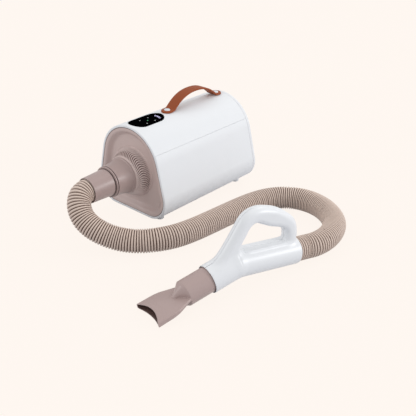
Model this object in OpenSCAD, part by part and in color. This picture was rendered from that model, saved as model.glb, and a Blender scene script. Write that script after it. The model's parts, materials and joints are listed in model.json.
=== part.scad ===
/* [Casing] */
// Length of the casing from the front rim to the rear cap
body_l = 271; // [250:1:300]
// Overall height above the floor
body_h = 184; // [180:1:190]
// Radius of the rounded top
top_r = 79; // [74:1:82]
// Radius of the two rounded bottom corners
corner_r = 44; // [40:1:46]
// Distance of each bottom corner's centre from the middle
corner_x = 49; // [47:1:56]
// Height of the feet
foot_h = 6.5; // [5:0.5:10]
// Wall of the two casing shells
wall = 3; // [2.5:0.1:3.5]
// Width of the white rim around the front dish
rim_w = 4.7; // [4.2:0.1:6]
// Height of the joint between the upper and lower shells
split_z = 142; // [130:1:150]
// Length of the rear cap
cap_l = 7.5; // [6:0.5:10]
// Height of the outlet axis
axis_z = 89; // [86:1:92]

/* [Outlet] */
// Depth of the front dish
dish_d = 9; // [6:0.5:12]
// Width of the dish's sloping border
dish_slope = 20; // [14:1:24]
// Outer radius of the finned ring
vent_r = 50; // [47:0.5:52]
// How far the finned ring stands out of the rim plane
vent_out = 17; // [12:1:22]
// Number of swirl fins on the ring
vent_fins = 60; // [24:1:80]
// Outer radius of the outlet tube at its root
tube_r = 34.6; // [33:0.2:36]
// Outer radius of the outlet tube at its collar
collar_r = 31; // [30.4:0.2:32]
// Bore radius of the outlet tube at its mouth
mouth_r = 27.4; // [27:0.1:27.8]
// Reach of the outlet tube in front of the rim plane
tube_out = 56; // [50:1:62]
// Length of the hose cuff in front of the tube
cuff_l = 52; // [46:1:60]
// Thickness of plain tube walls and cuffs
tube_wall = 2.2; // [1.8:0.1:2.6]

/* [Hose] */
// Outer radius of the hose over its ribs
hose_r = 22; // [20:0.2:22.4]
// Depth of the valley between two ribs
rib_d = 2; // [1:0.1:2.4]
// Number of ribs along the hose
hose_ribs = 186; // [60:1:200]
// Wall of the hose under its valleys
hose_wall = 1; // [0.8:0.1:1.4]

/* [Handset] */
// Outer radius of the handset barrel
barrel_r = 24.7; // [24.5:0.1:26]
// Bore radius of the handset barrel
bore_r = 22.5; // [22.4:0.1:22.6]
// Length of the barrel in front of its bend
front_l = 55; // [50:1:62]
// Length of the barrel behind its bend
rear_l = 130; // [125:1:140]
// Slope of the front part of the barrel
front_tilt = 12; // [10:0.5:14]
// Slope of the rear part of the barrel
rear_tilt = 7.4; // [6:0.2:9]
// Half width of the grip loop
grip_b = 12.5; // [11:0.5:14]
// Wall of the handset shells around the grip
grip_wall = 2.5; // [2:0.1:3]
// Outer radius of the nozzle tube
nozzle_r = 22.8; // [22.4:0.1:23]
// Length of the round part of the nozzle
nozzle_tube_l = 43; // [38:1:48]
// Overall length of the nozzle in front of the handset
nozzle_l = 117; // [108:1:120]
// Half width of the flat mouth
mouth_w = 34.5; // [30:0.5:38]
// Height of the flat mouth over its lips
mouth_h = 13.5; // [11:0.5:14]
// Wall of the nozzle
nozzle_wall = 1.8; // [1.4:0.1:2.2]

/* [Strap and panel] */
// Width of the leather strap
strap_w = 24; // [18:1:28]
// Thickness of the leather strap
strap_t = 3.2; // [2.4:0.2:4]
// Distance from the touch panel's end to the strap's front rivet
strap_lead = 17; // [14:1:24]
// Distance from the strap's rear rivet to the back of the casing
strap_rear = 24.5; // [22:0.5:32]
// Rise of the strap's arch above the casing
strap_rise = 28.5; // [24:0.5:36]
// Length of the touch panel
panel_l = 80; // [60:1:90]
// Width of the touch panel
panel_w = 44; // [36:1:50]
// Distance from the front rim to the touch panel
panel_in = 7.5; // [6:0.5:11]
// Height of the touch panel's glass above the casing
panel_t = 0.8; // [0.5:0.1:1.5]

/* [Blower] */
// Radius of the impeller
fan_r = 40; // [36:1:42]
// Number of impeller blades
fan_blades = 9; // [7:1:13]
// Height of the impeller between its plates
fan_w = 9; // [6:0.5:12]
// Radius of the motor shaft
shaft_r = 4; // [3:0.5:5]
// Radius of the motor frame
motor_r = 36; // [34:1:38]
// Running clearance of the shaft in its bearings
run_gap = 0.05; // [0.01:0.01:0.1]
// Radius of the rear intake opening
intake_r = 49; // [46:1:50]

/* [Hidden] */
$fn = 72;

// Clearance of parts that slide or turn in one another
fit_gap = 0.08;
// Clearance of parts that lie in a recess
seat_gap = 0.2;
// Overlap of cutting shapes past the face that they cut
eps = 1;

front_y = -body_l / 2;
rear_y = body_l / 2;
cap_y = rear_y - cap_l;
panel_y = front_y + panel_in + panel_l / 2;
top_cz = body_h - top_r;
corner_z = foot_h + corner_r;
tangent_a = atan2(corner_z - top_cz, corner_x)
  + acos((top_r - corner_r) / norm([corner_x, corner_z - top_cz]));

// Points of a clockwise arc
function arc(x, z, r, a0, a1, n) =
  [for (i = [0 : n]) let (a = a0 + (a1 - a0) * i / n) [x + r * cos(a), z + r * sin(a)]];
// Rounded triangular outline of the casing, drawn in by an inset
function outline(inset) = concat(
  arc(0, top_cz, top_r - inset, 180 - tangent_a, tangent_a, 30),
  arc(corner_x, corner_z, corner_r - inset, tangent_a, -90, 18),
  arc(-corner_x, corner_z, corner_r - inset, -90, -180 - tangent_a, 18));

// Straight solid of the outline between two places along the casing
module prism(inset, y0, y1) {
  translate([0, y1, 0]) rotate([90, 0, 0]) linear_extrude(y1 - y0) polygon(outline(inset));
}
// Solid through a row of [inset, y] sections
module loft(rows) {
  n = len(outline(0));
  points = [for (r = rows) for (p = outline(r[0])) [p[0], r[1], p[1]]];
  last = (len(rows) - 1) * n;
  sides = [for (k = [0 : len(rows) - 2]) for (i = [0 : n - 1]) let (j = (i + 1) % n)
    each [[k * n + i, k * n + n + j, k * n + j], [k * n + i, k * n + n + i, k * n + n + j]]];
  caps = [[for (i = [0 : n - 1]) i], [for (i = [n - 1 : -1 : 0]) last + i]];
  polyhedron(points, concat(sides, caps), convexity = 6);
}
// Round part about the outlet axis: points are [radius, y]
module turned(points) {
  translate([0, 0, axis_z]) rotate([-90, 0, 0]) rotate_extrude($fn = 96) polygon(points);
}
// Plain cylinder about the outlet axis
module axial(r, y0, y1) {
  translate([0, y0, axis_z]) rotate([-90, 0, 0]) cylinder(r = r, h = y1 - y0);
}
// Ring about the outlet axis
module axial_ring(r_out, r_in, y0, y1) {
  difference() {
    axial(r_out, y0, y1);
    axial(r_in, y0 - eps, y1 + eps);
  }
}
module above(z) translate([-body_h, -body_l, z]) cube([2 * body_h, 2 * body_l, 2 * body_h]);
module below(z) translate([-body_h, -body_l, z - 2 * body_h]) cube([2 * body_h, 2 * body_l, 2 * body_h]);

// ---------- casing ----------
edge_r = 2.4;
lip_l = 12;
boss_r = 5;
screw_r = 1.5;
boss_l = 16;
boss_at = [[-52, 40], [52, 40], [-46, body_h - 34], [46, body_h - 34]];
strap_ends = [panel_y + panel_l / 2 + strap_lead, rear_y - strap_rear];
strap_span = strap_ends[1] - strap_ends[0];
rivet_r = 3;
panel_seat = 2;

module casing() {
  difference() {
    union() {
      prism(0, front_y + edge_r, cap_y);
      loft([[edge_r, front_y], [edge_r * 0.3, front_y + edge_r * 0.3], [0, front_y + edge_r]]);
    }
    prism(rim_w, front_y - eps, front_y + lip_l);
    prism(wall, front_y + lip_l, cap_y + eps);
  }
}
module bosses(top) {
  for (p = boss_at) if ((p[1] > split_z) == top)
    difference() {
      intersection() {
        union() {
          translate([p[0], cap_y - boss_l, p[1]]) rotate([-90, 0, 0]) cylinder(r = boss_r, h = boss_l);
          translate([p[0] - 1, cap_y - boss_l, top ? p[1] : 0])
            cube([2, boss_l, top ? body_h : p[1]]);
        }
        prism(wall / 2, cap_y - boss_l - eps, cap_y);
        if (top) above(split_z); else below(split_z);
      }
      translate([p[0], cap_y - boss_l + 2, p[1]]) rotate([-90, 0, 0]) cylinder(r = screw_r, h = boss_l);
    }
}
module upper_housing() color("whitesmoke") {
  difference() {
    union() {
      intersection() {
        casing();
        above(split_z);
      }
      bosses(true);
      for (y = strap_ends) translate([0, y, body_h - wall - 4]) cylinder(r = 8, h = 5);
    }
    for (y = strap_ends) translate([0, y, body_h - 20]) cylinder(r = rivet_r + seat_gap, h = 40);
    pill_column(panel_l, panel_w, body_h - 12, body_h + eps);
  }
  pill_shelf();
}
module lower_housing() color("whitesmoke") {
  difference() {
    union() {
      intersection() {
        casing();
        below(split_z);
      }
      bosses(false);
      foot_blocks();
    }
    for (p = foot_at) translate([p[0], p[1], -eps]) cylinder(r = pad_r + seat_gap, h = eps + pad_in);
  }
}

// ---------- feet ----------
foot_at = [for (x = [-corner_x - 7, corner_x + 7]) for (y = [front_y + 21.5, rear_y - 22.5]) [x, y]];
foot_r = 9;
pad_r = 6;
pad_in = 2.5;
pad_out = 0.6;
module foot_blocks() {
  difference() {
    for (p = foot_at) translate([p[0], p[1], pad_out]) cylinder(r1 = foot_r - 1.5, r2 = foot_r, h = 14);
    prism(wall / 2, front_y, rear_y);
  }
}
module foot_ring(p, r, z0, z1) translate([p[0], p[1], z0]) cylinder(r = r, h = z1 - z0);
module feet() color("gainsboro") {
  for (p = foot_at) difference() {
    foot_ring(p, pad_r, pad_out, pad_in);
    foot_ring(p, pad_r - 2, pad_out - eps, pad_in - 1);
  }
}
module foot_pads() color("dimgray") {
  for (p = foot_at) foot_ring(p, pad_r - 2 - seat_gap, 0, pad_in - 1);
}

// ---------- touch panel ----------
glass_t = 1.6;
glass_inset = 0.15;
module pill(l, w) {
  r = w / 2;
  for (s = [-1, 1]) translate([0, s * (l / 2 - r)]) circle(r);
  square([w, l - w], center = true);
}
module pill_column(l, w, z0, z1) {
  translate([0, panel_y, z0]) linear_extrude(z1 - z0) pill(l, w);
}
// The window's shelf: a pill frame that follows the curved top from inside
module pill_shelf() {
  intersection() {
    difference() {
      pill_column(panel_l + 4, panel_w + 4, body_h - 20, body_h);
      pill_column(panel_l - 8, panel_w - 8, body_h - 21, body_h + eps);
    }
    top_shell(glass_t + panel_seat, glass_t);
  }
}
// Layer of the curved top between two depths under the surface
module top_shell(deep, shallow) {
  y0 = panel_y - panel_l;
  difference() {
    translate([0, y0, top_cz]) rotate([-90, 0, 0]) cylinder(r = top_r - shallow, h = 2 * panel_l, $fn = 180);
    translate([0, y0 - eps, top_cz]) rotate([-90, 0, 0])
      cylinder(r = top_r - deep, h = 2 * panel_l + 2 * eps, $fn = 180);
  }
}
module touch_panel() color([0.03, 0.03, 0.035]) {
  intersection() {
    pill_column(panel_l - 2 * glass_inset, panel_w - 2 * glass_inset, body_h - 20, body_h + 5);
    top_shell(glass_t - 0.05, -panel_t);
  }
}
board_z = body_h - 16;
board_t = 1.6;
module control_board() color("darkgreen") {
  translate([0, panel_y, board_z]) {
    difference() {
      translate([-24, -32, 0]) cube([48, 64, board_t]);
      for (p = post_at) translate([p[0], p[1], -eps]) cylinder(r = 1.2, h = board_t + 2 * eps);
    }
    for (p = post_at) translate([p[0], p[1], board_t]) difference() {
      cylinder(r = post_r, h = board_post);
      translate([0, 0, -eps]) cylinder(r = 1.2, h = board_post + 2 * eps);
    }
  }
}
post_r = 2.5;
post_x = panel_w / 2 - 2;
post_at = [for (x = [-post_x, post_x]) for (y = [-22, 22]) [x, y]];
board_post = sqrt(pow(top_r - glass_t - panel_seat, 2) - pow(post_x + post_r, 2)) + top_cz - board_z
  - board_t - 0.3;
module display_module() color("dimgray") {
  translate([0, panel_y, board_z + board_t]) {
    translate([-3, 14, 0]) cube([12, 10, 7]);
    for (x = [-10, 0, 10]) for (y = [-14, 0]) translate([x, y, 0]) cylinder(r = 1.8, h = 5);
  }
}

// ---------- strap ----------
strap_base = body_h + 0.2;
strap_end = 9;
strap_flat = 9;
// Height of the strap's underside along the casing
function strap_z(t) = let (u = 1 - pow(abs(2 * t - 1), 2.3)) strap_rise * u * (1 - 0.06 * u);
strap_n = 28;
module strap() color([0.62, 0.32, 0.17]) {
  l = strap_span - 2 * strap_flat;
  y0 = strap_ends[0] + strap_flat;
  line = [for (i = [0 : strap_n]) [y0 + l * i / strap_n, strap_base + strap_z(i / strap_n)]];
  top = [for (i = [0 : strap_n])
    let (a = line[max(i - 1, 0)], b = line[min(i + 1, strap_n)], n = [-(b[1] - a[1]), b[0] - a[0]])
      line[i] + n / norm(n) * strap_t];
  difference() {
    union() {
      rotate([90, 0, 90]) translate([0, 0, -strap_w / 2]) linear_extrude(strap_w)
        polygon(concat(line, [for (i = [strap_n : -1 : 0]) top[i]]));
      for (k = [0, 1]) translate([0, strap_ends[k], strap_base]) {
        cylinder(r = strap_w / 2, h = strap_t);
        translate([-strap_w / 2, k == 0 ? 0 : -strap_flat, 0]) cube([strap_w, strap_flat, strap_t]);
      }
    }
    for (y = strap_ends) translate([0, y, strap_base - eps]) cylinder(r = rivet_r + seat_gap, h = 10);
  }
}
cap_r = 6.2;
module strap_rivets() color("silver") {
  for (y = strap_ends) translate([0, y, 0]) {
    translate([0, 0, body_h - 12]) cylinder(r = rivet_r, h = strap_base + strap_t + 0.1 - body_h + 12);
    translate([0, 0, strap_base + strap_t]) rotate_extrude()
      polygon([[0, 0], [cap_r, 0], [cap_r, 0.7], [cap_r - 1, 1.5], [cap_r - 3, 1.9], [0, 2]]);
  }
}
module strap_washers() color("lightsteelblue") {
  for (y = strap_ends) translate([0, y, body_h - wall - 4 - 1.5]) difference() {
    cylinder(r = 7.5, h = 1.5);
    translate([0, 0, -eps]) cylinder(r = rivet_r + fit_gap, h = 4);
  }
}

// ---------- front ----------
floor_y = front_y + dish_d;
plate_t = 2.6;
skirt_l = 20;
dish_in = rim_w + seat_gap;
module front_panel() color([0.70, 0.62, 0.60]) {
  difference() {
    union() {
      loft([[dish_in, front_y + 1], [dish_in, front_y + 1 + plate_t],
        [dish_in + dish_slope, floor_y + plate_t]]);
      difference() {
        prism(dish_in, front_y + 2, front_y + lip_l);
        prism(dish_in + 2.2, front_y, front_y + skirt_l);
      }
    }
    loft([[dish_in + 1, front_y - 1], [dish_in + 1, front_y + 1], [dish_in + dish_slope, floor_y]]);
    axial(vent_seat_r, front_y - 5, floor_y + 10);
  }
}
vent_seat_r = vent_r + 1;
vent_face = front_y - vent_out;
lip_r = tube_r + 2;
module vent_ring() color([0.66, 0.58, 0.56]) {
  difference() {
    turned([[tube_r + fit_gap, vent_face], [lip_r, vent_face], [lip_r + 1.4, vent_face + 1],
      [vent_r - 1.6, front_y - 2], [vent_r - 0.4, front_y], [vent_r, front_y + 2],
      [vent_r, floor_y], [vent_r + 0.9, floor_y], [vent_r + 0.9, floor_y + plate_t],
      [vent_r + 5, floor_y + plate_t], [vent_r + 5, floor_y + plate_t + 2.4],
      [tube_r + fit_gap, floor_y + plate_t + 2.4]]);
    turned([[tube_r + 4, vent_face + 6], [vent_r - 4, front_y + 1], [vent_r - 4, floor_y + plate_t],
      [tube_r + 4, floor_y + plate_t]]);
    for (i = [0 : vent_fins - 1]) swirl_slot(360 * i / vent_fins);
  }
}
slot_w = 1.9;
slot_d = 1.5;
module swirl_slot(a) {
  slope = atan2(front_y - 2 - (vent_face + 1), vent_r - 1.6 - lip_r - 1.4);
  reach = norm([front_y - 2 - (vent_face + 1), vent_r - 1.6 - lip_r - 1.4]);
  translate([0, 0, axis_z]) rotate([0, a, 0]) translate([lip_r + 1.4, vent_face + 1, 0])
    rotate([0, 0, slope]) rotate([0, 12, 0]) translate([1, -2, -slot_w / 2])
      cube([reach - 1.5, 2 + slot_d, slot_w]);
}
tube_end = front_y - tube_out;
tube_root = floor_y + plate_t + 2.4;
lug_y = tube_end + 14;
lug_h = 1.4;
module outlet_tube() color([0.70, 0.62, 0.60]) {
  difference() {
    turned([[mouth_r, tube_end], [collar_r - 0.6, tube_end], [collar_r, tube_end + 0.6],
      [collar_r, tube_end + 3.2], [collar_r - 0.8, tube_end + 4], [collar_r + 1, tube_end + 20],
      [tube_r - 0.6, vent_face - 3.5], [tube_r + 1.4, vent_face - 2.8], [tube_r + 1.4, vent_face - 0.1],
      [tube_r, vent_face - 0.1], [tube_r, tube_root], [tube_r + 6, tube_root],
      [tube_r + 6, tube_root + 2.5], [tube_r - tube_wall, tube_root + 2.5],
      [tube_r - tube_wall, vent_face], [mouth_r, tube_end + 22]]);
    axial(mouth_r + lug_h, lug_y - 2, lug_y + 2.4);
    for (a = [0, 180]) translate([0, 0, axis_z]) rotate([0, a, 0])
      translate([0, tube_end - eps, -5]) cube([mouth_r + lug_h, lug_y + eps - tube_end, 10]);
  }
}

// ---------- rear ----------
cap_wall = 3;
cap_spigot = 8;
module rear_cap() color("whitesmoke") {
  difference() {
    union() {
      difference() {
        union() {
          prism(0, cap_y + 0.4, rear_y - edge_r);
          loft([[0, rear_y - edge_r], [edge_r * 0.3, rear_y - edge_r * 0.3], [edge_r, rear_y]]);
        }
        prism(wall + 2.4, cap_y - eps, rear_y - cap_wall);
      }
      difference() {
        prism(wall + seat_gap, cap_y - cap_spigot, cap_y + 1);
        prism(wall + 2.4, cap_y - cap_spigot - eps, cap_y + 2);
        for (p = boss_at) {
          translate([p[0], cap_y - 10, p[1]]) rotate([-90, 0, 0]) cylinder(r = boss_r + 1.5, h = 10.4);
          translate([p[0] - 1.5, cap_y - 10, p[1] > split_z ? p[1] : 0])
            cube([3, 10, p[1] > split_z ? body_h : p[1]]);
        }
      }
      for (p = boss_at) translate([p[0], cap_y, p[1]]) rotate([-90, 0, 0])
        cylinder(r = boss_r, h = cap_l - 0.2);
    }
    axial(intake_r, cap_y - eps, rear_y + eps);
    for (p = boss_at) translate([p[0], cap_y - eps, p[1]]) rotate([-90, 0, 0]) {
      cylinder(r = screw_r + 0.3, h = cap_l + 2 * eps);
      translate([0, 0, cap_l + eps - head_h - 0.4]) cylinder(r = head_r + 0.3, h = 5);
    }
    translate([inlet_x - inlet_w / 2 - fit_gap, cap_y - eps, inlet_z - inlet_h / 2 - fit_gap])
      cube([inlet_w + 2 * fit_gap, cap_l + 2 * eps, inlet_h + 2 * fit_gap]);
  }
}
head_r = 3.2;
head_h = 2.2;
module rear_screws() color("silver") {
  for (p = boss_at) translate([p[0], 0, p[1]]) rotate([-90, 0, 0]) {
    difference() {
      translate([0, 0, rear_y - 0.4 - head_h]) cylinder(r = head_r, h = head_h);
      translate([-0.4, -2, rear_y - 1.4]) cube([0.8, 4, 2]);
      translate([-2, -0.4, rear_y - 1.4]) cube([4, 0.8, 2]);
    }
    translate([0, 0, cap_y - boss_l + 4]) cylinder(r = screw_r - 0.02, h = cap_l + boss_l - 4 - 0.4 - head_h + 0.1);
  }
}
grille_t = 2.4;
grille_in = 14;
module intake_cover() color([0.70, 0.62, 0.60]) {
  r = intake_r - seat_gap;
  difference() {
    union() {
      axial(r, rear_y - grille_t, rear_y);
      axial_ring(r, r - 2.2, rear_y - grille_in, rear_y);
      axial(15, rear_y - grille_t, rear_y + 1.5);
    }
    for (k = [0 : 4]) let (rr = 20 + 5.6 * k, n = 12 + 4 * k)
      for (i = [0 : n - 1]) translate([0, rear_y, axis_z]) rotate([0, 360 * i / n + 8 * k, 0])
        translate([rr - 2.2, -grille_t - 1, -1.7]) cube([4.4, grille_t + 5, 3.4]);
  }
}
module intake_filter() color([0.2, 0.2, 0.21]) {
  axial(intake_r - seat_gap - 2.2 - 0.3, rear_y - grille_t - 0.3 - 9, rear_y - grille_t - 0.3);
}
inlet_x = 0;
inlet_z = 26;
inlet_w = 31;
inlet_h = 23;
socket_w = 24.6;
socket_h = 17;
socket_d = 17;
module inlet_socket() color([0.08, 0.08, 0.08]) {
  translate([inlet_x, 0, inlet_z]) difference() {
    translate([-inlet_w / 2, rear_y - socket_d - 3, -inlet_h / 2]) cube([inlet_w, socket_d + 3.6, inlet_h]);
    translate([-socket_w / 2, rear_y - socket_d, -socket_h / 2]) cube([socket_w, socket_d + 5, socket_h]);
    for (p = pin_at) translate([p[0] - 1 - fit_gap, rear_y - socket_d - 5, p[1] - 2 - fit_gap])
      cube([2 + 2 * fit_gap, 6, 4 + 2 * fit_gap]);
  }
}
pin_at = [[-7, -2], [0, 2], [7, -2]];
pin_back = 6.5;
module inlet_pins() color("silver") {
  for (p = pin_at) translate([inlet_x + p[0] - 1, rear_y - socket_d - 9, inlet_z + p[1] - 2])
    cube([2, socket_d + 9 - pin_back, 4]);
}

// ---------- power electronics ----------
pcb_z = 16;
pcb_y = [-95, 35];
module power_board() color("darkgreen") {
  translate([-38, pcb_y[0], pcb_z]) cube([76, pcb_y[1] - pcb_y[0], board_t]);
  for (x = [-33, 33]) for (y = [pcb_y[0] + 6, pcb_y[1] - 6])
    translate([x, y, foot_h + wall]) cylinder(r = 3, h = pcb_z - foot_h - wall);
}
module power_parts() color("goldenrod") {
  z = pcb_z + board_t;
  translate([-30, pcb_y[0] + 6, z]) cube([22, 26, 12]);
  translate([4, pcb_y[0] + 10, z]) cube([26, 18, 10]);
  for (x = [-24, -8]) translate([x, -48, z]) cylinder(r = 6, h = 9);
  translate([8, -56, z]) cube([20, 3, 10]);
  translate([-28, -20, z]) cube([24, 20, 6]);
  translate([6, -24, z]) cube([22, 30, 5]);
}

// ---------- blower ----------
fan_back = 62;
case_t = 1.2;
case_r = fan_r + 6;
fan_y = fan_back - 4;
motor_y = [-12, 34];
bulk_y = fan_back + 2;
bulk_t = 4;
module motor_bulkhead() color("dimgray") {
  difference() {
    prism(wall + seat_gap, bulk_y, bulk_y + bulk_t);
    axial(gasket_r, bulk_y - eps, bulk_y + bulk_t + eps);
  }
}
gasket_r = 34;
eye_r = 20;
module motor_gasket() color([0.15, 0.15, 0.16]) {
  turned([[eye_r + 2, fan_back + 0.2], [gasket_r + 6, fan_back + 0.2], [gasket_r + 6, bulk_y],
    [gasket_r - 0.1, bulk_y], [gasket_r - 0.1, bulk_y + bulk_t], [gasket_r + 4, bulk_y + bulk_t],
    [gasket_r + 4, bulk_y + bulk_t + 3], [eye_r + 2, bulk_y + bulk_t + 3]]);
}
module fan_case() color("lightsteelblue") {
  turned([[eye_r, fan_back], [case_r, fan_back], [case_r, motor_y[1]], [case_r - case_t, motor_y[1]],
    [case_r - case_t, fan_back - case_t], [eye_r, fan_back - case_t]]);
}
module impeller() color("aliceblue") {
  r0 = shaft_r + run_gap;
  back = fan_y - 1.4;
  axial_ring(fan_r, r0, back - fan_w - 1.2, back - fan_w);
  axial_ring(fan_r, eye_r - 2, back - 0.9, back + 0.3);
  axial_ring(11, r0, back - fan_w - 8, back - fan_w + 5);
  for (i = [0 : fan_blades - 1]) translate([0, back - fan_w - 0.1, axis_z])
    rotate([0, 360 * i / fan_blades, 0]) translate([12, 0, 0]) rotate([0, -38, 0])
      translate([0, 0, -0.6]) cube([fan_r - 13, fan_w + 0.2 - 0.8, 1.2]);
}
diff_y = fan_y - 1.4 - fan_w - 4;
vane_y = motor_y[1] + 0.3;
module diffuser() color("dimgray") {
  difference() {
    union() {
      axial_ring(case_r - case_t - fit_gap, 24, diff_y - 2, diff_y);
      axial_ring(26, 15, vane_y, diff_y - 2);
      for (i = [0 : 11]) translate([0, vane_y, axis_z]) rotate([0, 30 * i, 0])
        translate([25, 0, -0.8]) cube([case_r - case_t - 26, diff_y - 1 - vane_y, 1.6]);
    }
    for (i = [0 : 11]) translate([0, diff_y - 3, axis_z]) rotate([0, 30 * i + 15, 0])
      translate([35, 0, 0]) rotate([-90, 0, 0]) cylinder(r = 4.5, h = 5);
  }
}
module motor_frame() color("gainsboro") {
  difference() {
    union() {
      axial(motor_r, motor_y[0], motor_y[1]);
      axial(14, motor_y[0] - 6, motor_y[1]);
      for (a = [45 : 90 : 315]) translate([0, motor_y[1] - 8, axis_z]) rotate([0, a, 0])
        translate([motor_r - 2, 0, -3]) cube([case_r + 5.8 - motor_r, 8, 6]);
      axial_ring(case_r + 6, case_r + 2.4, motor_y[1] - 8, motor_y[1]);
    }
    axial(motor_r - 2.5, motor_y[0] + 3, motor_y[1] - 3);
    axial(bearing_r, motor_y[0] - 4, motor_y[0] + 10);
    axial(bearing_r, motor_y[1] - 10, motor_y[1] + eps);
    axial(shaft_r + 2, motor_y[0] - 10, motor_y[1] + eps);
    for (i = [0 : 7]) translate([0, motor_y[0] - eps, axis_z]) rotate([0, 45 * i + 20, 0])
      translate([25, 0, 0]) rotate([-90, 0, 0]) cylinder(r = 5, h = 80);
  }
}
bearing_r = 11;
bearing_w = 7;
module motor_bearings() color("silver") {
  for (y = [motor_y[0] - 4, motor_y[1] - bearing_w]) {
    axial_ring(bearing_r, shaft_r + run_gap, y, y + bearing_w);
  }
}
stator_in = 19;
module motor_stator() color("peru") {
  difference() {
    union() {
      axial_ring(motor_r - 2.5, 30, motor_y[0] + 6, motor_y[1] - 12);
      for (i = [0 : 8]) translate([0, motor_y[0] + 6, axis_z]) rotate([0, 40 * i, 0]) {
        translate([stator_in, 0, -2]) cube([12, motor_y[1] - motor_y[0] - 18, 4]);
        translate([22, -2, -4]) cube([6, motor_y[1] - motor_y[0] - 14, 8]);
      }
    }
    axial(stator_in, motor_y[0], motor_y[1]);
  }
}
module motor_shaft() color("gray") axial(shaft_r, motor_y[0] - 5, fan_y - 5);
module motor_rotor() color("slategray") {
  axial_ring(stator_in - 0.6, shaft_r, motor_y[0] + 6, motor_y[1] - 12);
}

// ---------- duct and heater ----------
duct_front_r = tube_r + 4;
duct_rear_r = case_r + 6.2;
duct_front_y = tube_root + 15;
duct_rear_y = 5;
// Inner radius of the duct's cone
function duct_at(y) = duct_front_r + (duct_rear_r - duct_front_r) * (y - duct_front_y) / (duct_rear_y - duct_front_y);
module air_duct() color("gainsboro") {
  r0 = duct_front_r;
  r1 = duct_rear_r;
  turned([[r0, tube_root + 2.6], [r0 + 2, tube_root + 2.6], [r0 + 2, duct_front_y - 1],
    [r1 + 2, duct_rear_y - 1], [r1 + 2, motor_y[1] + 4], [r1, motor_y[1] + 4], [r1, duct_rear_y],
    [r0, duct_front_y]]);
}
heat_y = [-92, -22];
heat_r = 33;
coil_r = heat_r - 5;
tab_l = 4;
module heater_frame() color("tan") {
  for (a = [0, 90]) translate([0, heat_y[0], axis_z]) rotate([0, a, 0]) {
    translate([wire_r + 0.1 - coil_r, 0, -0.5]) cube([2 * (coil_r - wire_r - 0.1), heat_y[1] - heat_y[0], 1]);
    for (y = [0, heat_y[1] - heat_y[0] - tab_l]) let (r = duct_at(heat_y[0] + y) - 0.3)
      translate([-r, y, -0.5]) cube([2 * r, tab_l, 1]);
  }
  axial_ring(heat_r + 2, heat_r + 1, heat_y[0], heat_y[1]);
}
coil_turns = 9;
wire_r = 0.9;
coil_sides = 6;
coil_steps = 16;
module heater_coil() color("darkorange") {
  n = coil_turns * coil_steps;
  r = coil_r;
  pitch = (heat_y[1] - heat_y[0] - 14) / coil_turns;
  path = [for (i = [0 : n]) let (a = 360 * i / coil_steps + 20)
    [r * cos(a), heat_y[0] + 7 + pitch * i / coil_steps, axis_z + r * sin(a)]];
  tube_mesh(path, [for (p = path) wire_r], coil_sides);
}
module thermal_cutout() color("silver") {
  translate([heat_r + 2.1, -60, axis_z - 3]) cube([4, 14, 6]);
}

// ---------- swept tubes ----------
function unit(v) = v / norm(v);
// Rings of points about a path, kept square to it
function tangent(path, i) = unit(path[min(i + 1, len(path) - 1)] - path[max(i - 1, 0)]);
function side_of(t) = unit(abs(t[2]) < 0.9 ? cross(t, [0, 0, 1]) : cross(t, [1, 0, 0]));
function rings(path, radii, sides) = [for (i = [0 : len(path) - 1])
  let (t = tangent(path, i), s = side_of(t), u = cross(s, t))
    for (k = [0 : sides - 1]) path[i] + radii[i] * (cos(360 * k / sides) * s + sin(360 * k / sides) * u)];
function skin(rows, sides, from, flip) = [for (i = [0 : rows - 2]) for (k = [0 : sides - 1])
  let (a = from + i * sides + k, b = from + i * sides + (k + 1) % sides, c = a + sides, d = b + sides)
    each (flip ? [[a, d, b], [a, c, d]] : [[a, b, d], [a, d, c]])];
module tube_mesh(path, radii, sides) {
  n = len(path);
  polyhedron(rings(path, radii, sides), concat(skin(n, sides, 0, false),
    [[for (k = [sides - 1 : -1 : 0]) k], [for (k = [0 : sides - 1]) (n - 1) * sides + k]]));
}

// ---------- hose ----------
// Where the handset rests beside the machine
bend_at = [316, -197, 42.8];
grip_base = 41.4;
handset_turn = 256.5;
hose_inset = 21;
hose_lead = 25;
rear_way = [-cos(handset_turn) * cos(rear_tilt), -sin(handset_turn) * cos(rear_tilt), -sin(rear_tilt)];
// A point behind the barrel's rear end, on its axis
function rear_point(d) = bend_at + rear_way * (rear_l + d);
hose_in = tube_end - 10;
straight = 2 * hose_r;
cuff_end = tube_end - cuff_l;
// Places that the middle of the hose passes, from the cuff to the handset
hose_route = [[0, -248, axis_z], [4, -263.5, 84], [15, -275.5, 71], [33, -279, 54], [58, -272, 39],
  [86, -254.5, 27], [114, -233, 22.4], [139, -204, 22.4], [155, -171, 22.4], [163, -134, 22.4],
  [167, -95, 22.4], [170, -55, 22.4], [173, -16, 22.4], [178, 21, 22.4], [188, 54, 22.4],
  [206, 81, 22.4], [232, 98, 22.4], [262, 103, 22.4], [293, 97, 22.4], [321, 82, 22.4],
  [344, 60, 22.4], [358, 31, 22.4], [363, 1, 22.4], [360, -26, 22.4]];
hose_tail = [for (d = [hose_lead, 10, -hose_inset]) rear_point(d)];
hose_points = concat([[0, hose_in, axis_z], [0, (hose_in - 248) / 2, axis_z]], hose_route, hose_tail);
function spline(p, i, t) =
  let (a = p[max(i - 1, 0)], b = p[i], c = p[i + 1], d = p[min(i + 2, len(p) - 1)])
    0.5 * (2 * b + (c - a) * t + (2 * a - 5 * b + 4 * c - d) * t * t + (3 * b - a - 3 * c + d) * t * t * t);
fine = 10;
hose_fine = [for (i = [0 : len(hose_points) - 2]) for (k = [0 : fine - 1]) spline(hose_points, i, k / fine),
  hose_points[len(hose_points) - 1]];
function sums(p, i = 0, s = 0, out = []) = i >= len(p) ? out
  : sums(p, i + 1, i + 1 < len(p) ? s + norm(p[i + 1] - p[i]) : s, concat(out, [s]));
hose_run = sums(hose_fine);
hose_len = hose_run[len(hose_run) - 1];
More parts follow.
